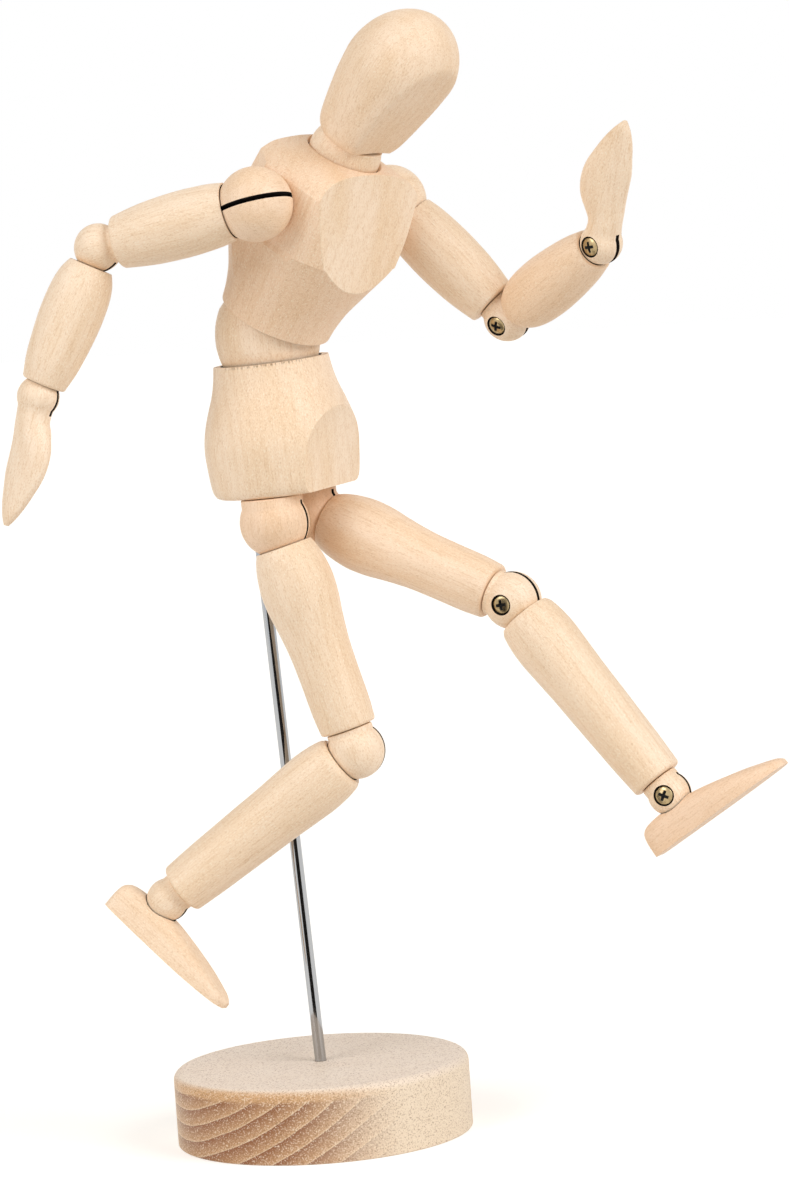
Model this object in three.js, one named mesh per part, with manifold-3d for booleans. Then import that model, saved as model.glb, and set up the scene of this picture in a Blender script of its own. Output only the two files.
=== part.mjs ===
// A jointed wooden drawing figure, posed as a runner on a steel rod and a round base.
// Millimetres, +Z up. The figure faces -Y, its left side is +X, and the origin is the centre of the
// base's underside. Every limb is modelled hanging straight down from its own pivot, and a hinge
// group turns it into the pose.
import * as THREE from 'three';
import { mergeVertices } from 'three/addons/utils/BufferGeometryUtils.js';
import Module from 'manifold-3d';

const wasm = await Module();
wasm.setup();

// Fits and facets
const CLEARANCE = 0.3;
const FACETS = 16;
const SMALL_FACETS = 8;
const BASE_FACETS = 36;
const DOME_STEPS = 6;
const PROFILE_STEPS = 7;
const EDGE_STEPS = 3;
const EYE_FACETS = 5;
const WELD = 1e-4;
const CUT_PAST = 2;

// Base and rod
const BASE_RADIUS = 40;
const BASE_HEIGHT = 20;
const BASE_EDGE_ROUND = 1.8;
const ROD_RADIUS = 1.55;
const ROD_FREE_LENGTH = 154.7;
const ROD_IN_BASE = 14;
const ROD_IN_PELVIS = 18;
const ROD_BEHIND_PELVIS_CENTRE = 10;

// A carved block is a circle in each row, cut by flats that face the front, the front corners, the
// sides, the back corners and the back, at these angles from the front
const FLAT_ANGLES = [0, 60, 90, 125, 180];
const CARVED_SIDES = 24;

// Pelvis, measured up from its flat underside, with rows of height, circle, half depth and half width
const PELVIS_HEIGHT = 35;
const PELVIS_TOP_RADIUS = 15.5;
const PELVIS_ROWS = [
  [0, 21.4, 13.9, 17.4],
  [2.5, 22.6, 15.1, 18.8],
  [12, 23.2, 15.6, 19.4],
  [23, 19.4, 15.6, 17.6],
];

// Waist barrel, and its centre above the pelvis underside
const WAIST_CENTRE = 41.4;
const WAIST_RADIUS = 14;
const WAIST_BULGE_RADIUS = 19.4;
const WAIST_BAND = 9;

// Chest, measured from the centre of the waist
const CHEST_RIM_HEIGHT = 6.3;
const CHEST_RIM_RADIUS = 15.3;
const CHEST_RIDGE_DIP = 3;
const CHEST_TOP = 55.5;
const CHEST_TOP_RADIUS = 10.5;
// Its rows: height, dip, circle, front, front corner, how much narrower than the seats, back corner, back
const CHEST_ROWS = [
  [15, 0, 17.3, 16, 17.2, 3, 17.2, 15.6],
  [22, 0, 20.6, 16.5, 20, 1, 19.6, 15.6],
  [28, CHEST_RIDGE_DIP, 23.9, 17.2, 22.2, 0, 21.6, 15.5],
  [36, 0, 24.2, 16.9, 22.5, 0, 21.4, 15.5],
  [44, 0, 24, 15.6, 21.6, 0, 21.4, 15.4],
  [50, 0, 22.4, 13.4, 19, 1, 20.4, 14.6],
  [54, 0, 18.4, 10.8, 15, 4.6, 17, 12],
];
const SHOULDER_SPREAD = 27.4;
const SHOULDER_HEIGHT = 40.8;

// Neck and head
const NECK_PIVOT_HEIGHT = 55.5;
const NECK_RADIUS = 8.5;
const NECK_SEAT_RADIUS = 9.5;
const NECK_TOP = 5;
const HEAD_LENGTH = 40.7;
const HEAD_RADIUS = 14.6;
const HEAD_FULL_AT = 23;
const HEAD_JAW = [[10, 0], [11.8, 3.4], [13.9, 15]];
const HEAD_FORWARD = 1.2;
const HEAD_FORWARD_SLOPE = 0.096;
const FACE_FLAT_DEPTH = 3.3;
const FACE_SLOPE = 15.5;

// Slotted knuckles: ball radius, and how far the flat seat lies from the pivot
const SHOULDER_RADIUS = 9.8;
const SHOULDER_SEAT = 7;
const ELBOW_RADIUS = 6.4;
const ELBOW_SEAT = 5.4;
const WRIST_RADIUS = 5.6;
const HIP_RADIUS = 9.3;
const HIP_SEAT = 6.9;
const HIP_SPREAD = 11.5;
const HIP_STRAIGHT_FROM = 118;
const KNEE_RADIUS = 7.7;
const KNEE_SEAT = 5.9;
const ANKLE_RADIUS = 5.8;
const ANKLE_SEAT = 4.5;
const KNUCKLE_WEB = 1.5;
const SPIGOT_RADIUS = 2.2;
const SPIGOT_LENGTH = 9;

// Limbs: pivot to pivot lengths, fullest radius and its distance below the rim, and end radius
const UPPER_ARM_LENGTH = 44.5;
const UPPER_ARM_FULL_RADIUS = 8.5;
const UPPER_ARM_FULL_AT = 13;
const UPPER_ARM_END_RADIUS = 6.2;
const FOREARM_LENGTH = 42;
const FOREARM_FULL_RADIUS = 8;
const FOREARM_FULL_AT = 12;
const THIGH_LENGTH = 64.3;
const THIGH_FULL_RADIUS = 9.4;
const THIGH_FULL_AT = 15;
const THIGH_END_RADIUS = 6.8;
const SHIN_LENGTH = 66;
const SHIN_FULL_RADIUS = 8.7;
const SHIN_FULL_AT = 14;
const SHIN_END_RADIUS = 6.2;
const RIM_WALL = 0.4;
const SHOULDER_CUP_ANGLE = 45;
const ELBOW_CUP_ANGLE = 47;
const WRIST_CUP_ANGLE = 54;
const HIP_CUP_ANGLE = 45;
const KNEE_CUP_ANGLE = 55;

// Hand and foot, measured from the wrist and ankle pivots
const HAND_LENGTH = 35;
const HAND_THUMB_WIDTH = 7.9;
const HAND_BACK_WIDTH = 4;
const HAND_FULL_AT = 14;
const HAND_NARROWING_AT = 24;
const HAND_NARROWING = 0.71;
const HAND_NECK_RADIUS = 4.3;
const HAND_NECK_AT = 5.9;
const HAND_HALF_THICKNESS = 3.4;
const HAND_TIP_HALF_WIDTH = 0.6;
const HAND_TIP_HALF_THICKNESS = 1.1;
const FOOT_SOLE = 11.7;
// Its profile as [behind the pivot, above the sole], and its half outline as [half width, behind the pivot]
const FOOT_HEEL_PROFILE = [[10.2, 0], [11.4, 1.5], [11.1, 4.6], [6.4, 8]];
const FOOT_TOP_PROFILE = [[-4, 8], [-15.5, 6.4], [-29.5, 2.4]];
const FOOT_TOE_PROFILE = [[-31, 1.2], [-30, 0]];
const FOOT_OUTLINE = [[1.5, -31], [5.2, -28], [7.2, -14], [5.6, 3.4], [3.9, 10.6], [1, 11.4]];

// Steel tongues, pins and brass screws
const TONGUE_THICKNESS = 1;
const TONGUE_WIDTH = 3.6;
const TONGUE_TAIL = 8;
const EYE_WALL = 0.9;
const WRIST_PIN_RADIUS = 1.9;
const WRIST_PIN_LENGTH = 10;
const SCREW_SHANK_RADIUS = 1.2;
const SCREW_HEAD_RADIUS = 2.5;
const SCREW_HEAD_HEIGHT = 1.3;
const SCREW_SINK = 0.35;
const SCREW_SHORT_OF_FAR_SIDE = 1.8;
const RECESS_WIDTH = 0.7;
const RECESS_SPAN = 3.2;
const RECESS_DEPTH = 0.8;

// Springs
const SPRING_RADIUS = 1.9;
const SPRING_WIRE_RADIUS = 0.45;
const SPRING_PITCH = 5.5;
const SPRING_STEPS_PER_TURN = 8;
const WIRE_SIDES = 4;
const SPRING_BORE_STEPS = 8;
const WAIST_SPRING_DOWN = 25;
const WAIST_SPRING_UP = 25;
const NECK_SPRING_DOWN = 11;
const NECK_SPRING_UP = 17;
const SHOULDER_SPRING_INTO_BALL = 1;

// The runner's pose, in degrees about each hinge's own axis
const ROD_LEAN = -2.7;
const PELVIS_TILT = -2.4;
const WAIST_TURN = -17;
const WAIST_LEAN = 5;
const CHEST_BEND = 34.4;
const NECK_LEAN = -1.6;
const NECK_NOD = 5.7;
const HEAD_TURN = 0;
const ARM_POSES = {
  right: { shoulder: 44.8, raise: 22.7, elbowTurn: -2.9, elbow: -54.2, wristTurn: 0, wrist: -8.7 },
  left: { shoulder: -72.3, raise: -18.4, elbowTurn: -13.2, elbow: -80, wristTurn: 12.2, wrist: -37.4 },
};
const LEG_POSES = {
  right: { hipTurn: 4.5, hip: -12.9, kneeTurn: 9, knee: 71, ankleTurn: -10.7, ankle: -12.4 },
  left: { hipTurn: -5.4, hip: -64, kneeTurn: -1.4, knee: 28.8, ankleTurn: 9.2, ankle: 4.4 },
};
const SIDES = { right: -1, left: 1 };

// Sizes that follow from the ones above
const EYE_RADIUS = SCREW_SHANK_RADIUS + CLEARANCE + EYE_WALL;
const SLOT_WIDTH = TONGUE_THICKNESS + 2 * CLEARANCE;
const SPRING_BORE_RADIUS = SPRING_RADIUS + SPRING_WIRE_RADIUS + CLEARANCE;
const SPRING_END_ROOM = SPRING_WIRE_RADIUS + CLEARANCE;
const WAIST_BULGE_CENTRE = WAIST_RADIUS - WAIST_BULGE_RADIUS;
const WAIST_EDGE_RADIUS = WAIST_BULGE_CENTRE + Math.sqrt(WAIST_BULGE_RADIUS ** 2 - WAIST_BAND ** 2);
const WAIST_CAP_RADIUS = Math.hypot(WAIST_EDGE_RADIUS, WAIST_BAND);
const CHEST_HALF_WIDTH = SHOULDER_SPREAD - SHOULDER_SEAT - CLEARANCE;
const HIP_DROP = HIP_SEAT + CLEARANCE;
const FINISHES = {
  paleWood: { color: 0xecd5b4, roughness: 0.55, metalness: 0 },
  baseWood: { color: 0xd9b68e, roughness: 0.5, metalness: 0 },
  steel: { color: 0xc4c6c8, roughness: 0.25, metalness: 1 },
  brass: { color: 0x9a7a45, roughness: 0.4, metalness: 1 },
};

const radians = THREE.MathUtils.degToRad;

// A closed geometry as a solid that can be joined and cut
function solid(geometry) {
  const plain = geometry.clone();
  plain.deleteAttribute('normal');
  plain.deleteAttribute('uv');
  const merged = mergeVertices(plain, WELD);
  const corners = merged.index.array;
  const triVerts = [];
  for (let i = 0; i < corners.length; i += 3) {
    const [a, b, c] = corners.slice(i, i + 3);
    if (a !== b && b !== c && c !== a) triVerts.push(a, b, c);
  }
  return new wasm.Manifold(new wasm.Mesh({
    numProp: 3,
    vertProperties: merged.attributes.position.array,
    triVerts: Uint32Array.from(triVerts),
  }));
}

function cut(body, ...tools) {
  return tools.reduce((rest, tool) => rest.subtract(solid(tool)), body);
}

function common(...geometries) {
  return geometries.map(solid).reduce((shape, other) => shape.intersect(other));
}

// Names a piece, gives it its finish and hangs it in its group
function piece(group, name, body, finish) {
  const { vertProperties, triVerts } = body.getMesh();
  const geometry = new THREE.BufferGeometry();
  geometry.setAttribute('position', new THREE.BufferAttribute(Float32Array.from(vertProperties), 3));
  geometry.setIndex(new THREE.BufferAttribute(Uint32Array.from(triVerts), 1));
  geometry.computeVertexNormals();
  const mesh = new THREE.Mesh(geometry, new THREE.MeshStandardMaterial(FINISHES[finish]));
  mesh.name = name;
  group.add(mesh);
}

// A group that turns about one of its own axes, set to the pose
function hinge(parent, name, [x, y, z], axis, degrees) {
  const group = new THREE.Group();
  group.name = name;
  group.userData.axis = axis;
  group.position.set(x, y, z);
  group.rotation[axis] = radians(degrees);
  group.updateMatrix();
  parent.add(group);
  return group;
}

// A lathe-turned shape about Z from [radius, height] pairs, lowest first
function turned(profile, facets = FACETS) {
  const points = profile.map(([radius, height]) => new THREE.Vector2(radius, height));
  return new THREE.LatheGeometry(points, facets).rotateX(Math.PI / 2);
}

// Points of a circle about a point on the axis, by degrees from straight down
function arc(centre, radius, from, to, steps) {
  return Array.from({ length: steps + 1 }, (_, i) => {
    const angle = radians(from + ((to - from) * i) / steps);
    return [radius * Math.sin(angle), centre - radius * Math.cos(angle)];
  });
}

// Smooth stretch of a profile through a few [radius, height] pairs
function curved(pairs, steps) {
  const curve = new THREE.SplineCurve(pairs.map(([x, y]) => new THREE.Vector2(x, y)));
  return curve.getPoints(steps).map((point) => [point.x, point.y]);
}

// Small round stock, and the holes for it
function rod(radius, from, to) {
  return turned([[0, from], [radius, from], [radius, to], [0, to]], SMALL_FACETS);
}

function bore(radius, from, to) {
  return rod((radius + CLEARANCE) / Math.cos(Math.PI / SMALL_FACETS), from, to);
}

function polygon(radius, sides) {
  return new THREE.Shape(Array.from({ length: sides }, (_, i) => {
    const angle = (2 * Math.PI * i) / sides;
    return new THREE.Vector2(radius * Math.cos(angle), radius * Math.sin(angle));
  }));
}

// A round hollow whose flats, not its corners, lie at the radius
function hollow(radius) {
  const corner = radius / Math.cos(Math.PI / FACETS) ** 2;
  return new THREE.SphereGeometry(corner, FACETS, FACETS / 2).rotateX(Math.PI / 2);
}

// A slab cut to an outline of [across, up] pairs: "front" faces Y and "side" faces X
function slab(outline, view, thickness) {
  const shape = new THREE.Shape(outline.map(([across, up]) => new THREE.Vector2(across, up)));
  const geometry = new THREE.ExtrudeGeometry(shape, { depth: thickness, bevelEnabled: false });
  geometry.translate(0, 0, -thickness / 2);
  geometry.rotateX(Math.PI / 2);
  return view === 'side' ? geometry.rotateZ(Math.PI / 2) : geometry;
}

// Closes a half outline with its mirror image
function mirrored(half) {
  return [...half, ...half.map(([across, up]) => [-across, up]).reverse()];
}

// A block carved to rows of { height, dip, round, flats }, lowest first. A row dips at the front.
function carved(rows) {
  const count = CARVED_SIDES;
  const corner = ({ height, dip = 0, round, flats = [] }, i) => {
    const turn = (2 * Math.PI * i) / count;
    const fromFront = Math.min(turn, 2 * Math.PI - turn);
    const reach = flats.reduce((least, flat, k) => {
      const facing = Math.cos(fromFront - radians(FLAT_ANGLES[k]));
      return facing > 0 ? Math.min(least, flat / facing) : least;
    }, round);
    return [reach * Math.sin(turn), -reach * Math.cos(turn), height - dip * Math.max(0, Math.cos(turn))];
  };
  const points = rows.flatMap((row) => Array.from({ length: count }, (_, i) => corner(row, i)));
  const faces = [];
  for (let row = 0; row + 1 < rows.length; row += 1) {
    for (let i = 0; i < count; i += 1) {
      const [a, b] = [row * count + i, row * count + ((i + 1) % count)];
      faces.push(a, b, b + count, a, b + count, a + count);
    }
  }
  const top = (rows.length - 1) * count;
  for (let i = 1; i + 1 < count; i += 1) faces.push(0, i + 1, i, top, top + i, top + i + 1);
  const geometry = new THREE.BufferGeometry();
  geometry.setAttribute('position', new THREE.Float32BufferAttribute(points.flat(), 3));
  geometry.setIndex(faces);
  return solid(geometry);
}

// Coil springs

function coil(name, path) {
  const turns = Math.round(path.getLength() / SPRING_PITCH);
  const steps = turns * SPRING_STEPS_PER_TURN;
  const { normals, binormals } = path.computeFrenetFrames(steps);
  const centres = normals.map((normal, i) => {
    const angle = (2 * Math.PI * i) / SPRING_STEPS_PER_TURN;
    return path.getPointAt(i / steps)
      .addScaledVector(normal, SPRING_RADIUS * Math.cos(angle))
      .addScaledVector(binormals[i], SPRING_RADIUS * Math.sin(angle));
  });
  let least = Infinity;
  centres.forEach((point, i) => centres.slice(i + SPRING_STEPS_PER_TURN - 1).forEach((other) => {
    least = Math.min(least, point.distanceTo(other) - 2 * SPRING_WIRE_RADIUS);
  }));
  console.log(`${name}: least gap between turns ${least.toFixed(2)} mm`);
  const wire = { steps, bevelEnabled: false, extrudePath: new THREE.CatmullRomCurve3(centres) };
  return solid(new THREE.ExtrudeGeometry(polygon(SPRING_WIRE_RADIUS, WIRE_SIDES), wire));
}

function springBore(path) {
  const corner = SPRING_BORE_RADIUS / Math.cos(Math.PI / SMALL_FACETS);
  const along = { steps: SPRING_BORE_STEPS, bevelEnabled: false, extrudePath: path };
  return new THREE.ExtrudeGeometry(polygon(corner, SMALL_FACETS), along);
}

// Knuckles, cups, tongues and screws, with the pivot at the origin and the seat upwards

function knuckle(radius, seat, { straightFrom = 0, spigot = true } = {}) {
  const domeEnd = straightFrom || THREE.MathUtils.radToDeg(Math.acos(-seat / radius));
  const dome = arc(0, radius, 0, domeEnd, DOME_STEPS);
  if (straightFrom) dome.push([radius * Math.sin(radians(straightFrom)), seat]);
  const stem = spigot ? [[SPIGOT_RADIUS, seat], [SPIGOT_RADIUS, seat + SPIGOT_LENGTH]] : [];
  const top = spigot ? seat + SPIGOT_LENGTH : seat;
  return solid(turned([...dome, ...stem, [0, top]]));
}

function spigotBore(mouth) {
  return bore(SPIGOT_RADIUS, mouth - CUT_PAST, mouth + SPIGOT_LENGTH + CLEARANCE);
}

// The saw kerf across a knuckle, open downwards
function kerf(radius, floor) {
  const height = radius + CUT_PAST + floor;
  const saw = new THREE.BoxGeometry(SLOT_WIDTH, 2 * (radius + CUT_PAST), height);
  return saw.translate(0, 0, floor - height / 2);
}

// Turns a shape along Z to point at the inner side of the limb
function towardsMiddle(geometry, side) {
  return geometry.rotateY((-side * Math.PI) / 2);
}

function screw(radius) {
  const face = radius - SCREW_SINK;
  const neck = face - SCREW_HEAD_HEIGHT;
  const tip = SCREW_SHORT_OF_FAR_SIDE - radius;
  const edge = SCREW_HEAD_HEIGHT / 4;
  const body = solid(turned([
    [0, tip], [SCREW_SHANK_RADIUS, tip], [SCREW_SHANK_RADIUS, neck], [SCREW_HEAD_RADIUS, neck],
    [SCREW_HEAD_RADIUS, face - edge], [SCREW_HEAD_RADIUS - edge, face], [0, face],
  ], SMALL_FACETS));
  const arm = new THREE.BoxGeometry(RECESS_SPAN, RECESS_WIDTH, 2 * RECESS_DEPTH).translate(0, 0, face);
  return cut(body, arm, arm.clone().rotateZ(Math.PI / 2));
}

function screwHole(radius) {
  const shank = SCREW_SHANK_RADIUS + CLEARANCE;
  const head = SCREW_HEAD_RADIUS + CLEARANCE;
  const floor = radius - SCREW_SINK - SCREW_HEAD_HEIGHT - CLEARANCE;
  const tip = SCREW_SHORT_OF_FAR_SIDE - radius - CLEARANCE;
  const mouth = radius + CUT_PAST;
  return turned([
    [0, tip], [shank, tip], [shank, floor], [head, floor], [head, mouth], [0, mouth],
  ], SMALL_FACETS);
}

// A flat strip with an eye round the pivot, reaching down to its end
function tongue(end) {
  const half = TONGUE_WIDTH / 2;
  const join = Math.asin(half / EYE_RADIUS);
  const shape = new THREE.Shape();
  shape.moveTo(half, -end);
  shape.absarc(0, 0, EYE_RADIUS, join - Math.PI / 2, 1.5 * Math.PI - join, false);
  shape.lineTo(-half, -end);
  shape.holes.push(new THREE.Path().absarc(0, 0, SCREW_SHANK_RADIUS + CLEARANCE, 0, 2 * Math.PI, true));
  const sheet = { depth: TONGUE_THICKNESS, curveSegments: EYE_FACETS, bevelEnabled: false };
  const strip = new THREE.ExtrudeGeometry(shape, sheet);
  strip.translate(0, 0, -TONGUE_THICKNESS / 2);
  strip.rotateX(Math.PI / 2);
  return strip.rotateZ(Math.PI / 2);
}

// The mortise in a limb that holds a tongue's tail
function mortise(end) {
  const height = end + CLEARANCE;
  const chisel = new THREE.BoxGeometry(SLOT_WIDTH, TONGUE_WIDTH + 2 * CLEARANCE, height);
  return chisel.translate(0, 0, -height / 2);
}

// Where a cup's rim lies below its pivot, and how wide it is outside
function cupRim(ballRadius, angle) {
  const reach = ballRadius + CLEARANCE;
  return [reach * Math.sin(radians(angle)) + RIM_WALL, reach * Math.cos(radians(angle))];
}

// A turned limb from its cup's rim, through its fullest place, to its end
function limb([rimRadius, rimDrop], fullRadius, fullAt, [endRadius, endDrop]) {
  const side = curved([
    [endRadius, -endDrop],
    [(endRadius + fullRadius) / 2, -(endDrop + rimDrop + fullAt) / 2],
    [fullRadius, -(rimDrop + fullAt)],
    [rimRadius, -rimDrop],
  ], PROFILE_STEPS);
  return solid(turned([[0, -endDrop], ...side, [0, -rimDrop]]));
}

// Trunk pieces

function basePiece(holeMatrix) {
  const inner = BASE_RADIUS - BASE_EDGE_ROUND;
  const edge = arc(BASE_HEIGHT - BASE_EDGE_ROUND, BASE_EDGE_ROUND, 90, 180, EDGE_STEPS)
    .map(([radius, height]) => [inner + radius, height]);
  const disc = solid(turned([[0, 0], [BASE_RADIUS, 0], ...edge, [0, BASE_HEIGHT]], BASE_FACETS));
  const hole = bore(ROD_RADIUS, -ROD_IN_BASE - CLEARANCE, CUT_PAST + ROD_RADIUS);
  return cut(disc, hole.applyMatrix4(holeMatrix));
}

function pelvisPiece(springPath) {
  const block = carved([
    ...PELVIS_ROWS.map(([height, round, depth, width]) => (
      { height, round, flats: [depth, round, width, round, depth] }
    )),
    { height: PELVIS_HEIGHT, round: PELVIS_TOP_RADIUS },
  ]);
  const rodBore = bore(ROD_RADIUS, -CUT_PAST - ROD_RADIUS, ROD_IN_PELVIS + CLEARANCE)
    .rotateY(radians(-PELVIS_TILT)).translate(0, ROD_BEHIND_PELVIS_CENTRE, 0);
  const hipBores = Object.values(SIDES)
    .map((sign) => spigotBore(-CLEARANCE).translate(sign * HIP_SPREAD, 0, 0));
  const waistSeat = hollow(WAIST_CAP_RADIUS + CLEARANCE).translate(0, 0, WAIST_CENTRE);
  return cut(block, waistSeat, springBore(springPath), rodBore, ...hipBores);
}

function waistPiece(springPath) {
  const edgeAngle = THREE.MathUtils.radToDeg(Math.atan2(WAIST_EDGE_RADIUS, WAIST_BAND));
  const bulge = Array.from({ length: DOME_STEPS + 1 }, (_, i) => {
    const height = WAIST_BAND * ((2 * i) / DOME_STEPS - 1);
    return [WAIST_BULGE_CENTRE + Math.sqrt(WAIST_BULGE_RADIUS ** 2 - height ** 2), height];
  });
  const bottom = arc(0, WAIST_CAP_RADIUS, 0, edgeAngle, EDGE_STEPS).slice(0, -1);
  const top = arc(0, WAIST_CAP_RADIUS, 180 - edgeAngle, 180, EDGE_STEPS).slice(1);
  return cut(solid(turned([...bottom, ...bulge, ...top])), springBore(springPath));
}

function chestPiece(waistPath, neckPath, shoulderPath) {
  const block = carved([
    { height: CHEST_RIM_HEIGHT, round: CHEST_RIM_RADIUS },
    ...CHEST_ROWS.map(([height, dip, round, front, corner, narrower, backCorner, back]) => (
      { height, dip, round, flats: [front, corner, CHEST_HALF_WIDTH - narrower, backCorner, back] }
    )),
    { height: CHEST_TOP, round: CHEST_TOP_RADIUS },
  ]);
  return cut(
    block,
    hollow(WAIST_CAP_RADIUS + CLEARANCE),
    hollow(NECK_SEAT_RADIUS + CLEARANCE).translate(0, 0, NECK_PIVOT_HEIGHT),
    springBore(waistPath),
    springBore(neckPath),
    springBore(shoulderPath),
  );
}

function neckPiece(springPath) {
  const edgeAngle = THREE.MathUtils.radToDeg(Math.asin(NECK_RADIUS / NECK_SEAT_RADIUS));
  const seat = arc(0, NECK_SEAT_RADIUS, 0, edgeAngle, DOME_STEPS);
  return cut(solid(turned([...seat, [NECK_RADIUS, NECK_TOP], [0, NECK_TOP]])), springBore(springPath));
}

function headPiece(springPath) {
  const crown = HEAD_LENGTH - HEAD_FULL_AT;
  const dome = Array.from({ length: DOME_STEPS + 1 }, (_, i) => {
    const angle = (Math.PI / 2) * (i / DOME_STEPS);
    return [HEAD_RADIUS * Math.cos(angle), HEAD_FULL_AT + crown * Math.sin(angle)];
  });
  const jaw = curved([...HEAD_JAW, [HEAD_RADIUS, HEAD_FULL_AT]], PROFILE_STEPS);
  const lean = new THREE.Matrix4().makeShear(0, 0, 0, 0, 0, -HEAD_FORWARD_SLOPE);
  const egg = turned([[0, 0], ...jaw.slice(0, -1), ...dome.slice(0, -1), [0, HEAD_LENGTH]])
    .applyMatrix4(lean).translate(0, -HEAD_FORWARD, 0);
  const face = HEAD_FORWARD + HEAD_RADIUS + HEAD_FORWARD_SLOPE * HEAD_FULL_AT - FACE_FLAT_DEPTH;
  const plane = new THREE.BoxGeometry(4 * HEAD_RADIUS, 2 * HEAD_RADIUS, 4 * HEAD_FULL_AT)
    .translate(0, -HEAD_RADIUS, 0).rotateX(radians(FACE_SLOPE)).translate(0, -face, HEAD_FULL_AT);
  return cut(solid(egg), plane, springBore(springPath));
}

// Arms and legs

function handPiece(side) {
  const flank = (widest) => [
    [HAND_NECK_RADIUS, -HAND_NECK_AT], [widest, -HAND_FULL_AT],
    [HAND_NARROWING * widest, -HAND_NARROWING_AT], [HAND_TIP_HALF_WIDTH, -HAND_LENGTH],
  ];
  const back = curved(flank(HAND_BACK_WIDTH), PROFILE_STEPS);
  const thumb = curved(flank(HAND_THUMB_WIDTH), PROFILE_STEPS)
    .map(([across, up]) => [-across, up]).reverse();
  const face = [[HAND_NECK_RADIUS, 0], ...back, ...thumb, [-HAND_NECK_RADIUS, 0]];
  const edge = mirrored(curved([
    [HAND_TIP_HALF_THICKNESS, -HAND_LENGTH], [HAND_HALF_THICKNESS, -HAND_FULL_AT],
    [HAND_NECK_RADIUS, -HAND_NECK_AT], [HAND_NECK_RADIUS, 0],
  ], PROFILE_STEPS));
  const paddle = common(
    slab(face, 'side', 2 * HAND_LENGTH), slab(edge, 'front', 2 * HAND_LENGTH),
  );
  const dome = solid(new THREE.SphereGeometry(WRIST_RADIUS, FACETS, FACETS / 2).rotateX(Math.PI / 2));
  const slot = kerf(WRIST_RADIUS, EYE_RADIUS + CLEARANCE).rotateX(Math.PI);
  return cut(dome.add(paddle), slot, towardsMiddle(screwHole(WRIST_RADIUS), side));
}

function footPiece(tongueEnd) {
  const profile = [...FOOT_HEEL_PROFILE, ...curved(FOOT_TOP_PROFILE, PROFILE_STEPS), ...FOOT_TOE_PROFILE];
  const upright = slab(profile, 'side', 4 * FOOT_SOLE).translate(0, 0, -FOOT_SOLE);
  const outline = mirrored(curved(FOOT_OUTLINE, 2 * PROFILE_STEPS));
  const plan = slab(outline, 'front', 4 * FOOT_SOLE).rotateX(-Math.PI / 2);
  const body = common(upright, plan);
  return cut(body, hollow(ANKLE_RADIUS + CLEARANCE), mortise(tongueEnd));
}

function slottedKnuckle(group, name, radius, seat, side, style) {
  const body = knuckle(radius, seat, style);
  piece(group, `${side}_${name}_knuckle`, cut(
    body, kerf(radius, seat - KNUCKLE_WEB), towardsMiddle(screwHole(radius), SIDES[side]),
  ), 'paleWood');
  const fastener = screw(radius).rotate([0, -90 * SIDES[side], 0]);
  piece(group, `${side}_${name}_screw`, fastener, 'brass');
}

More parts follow.
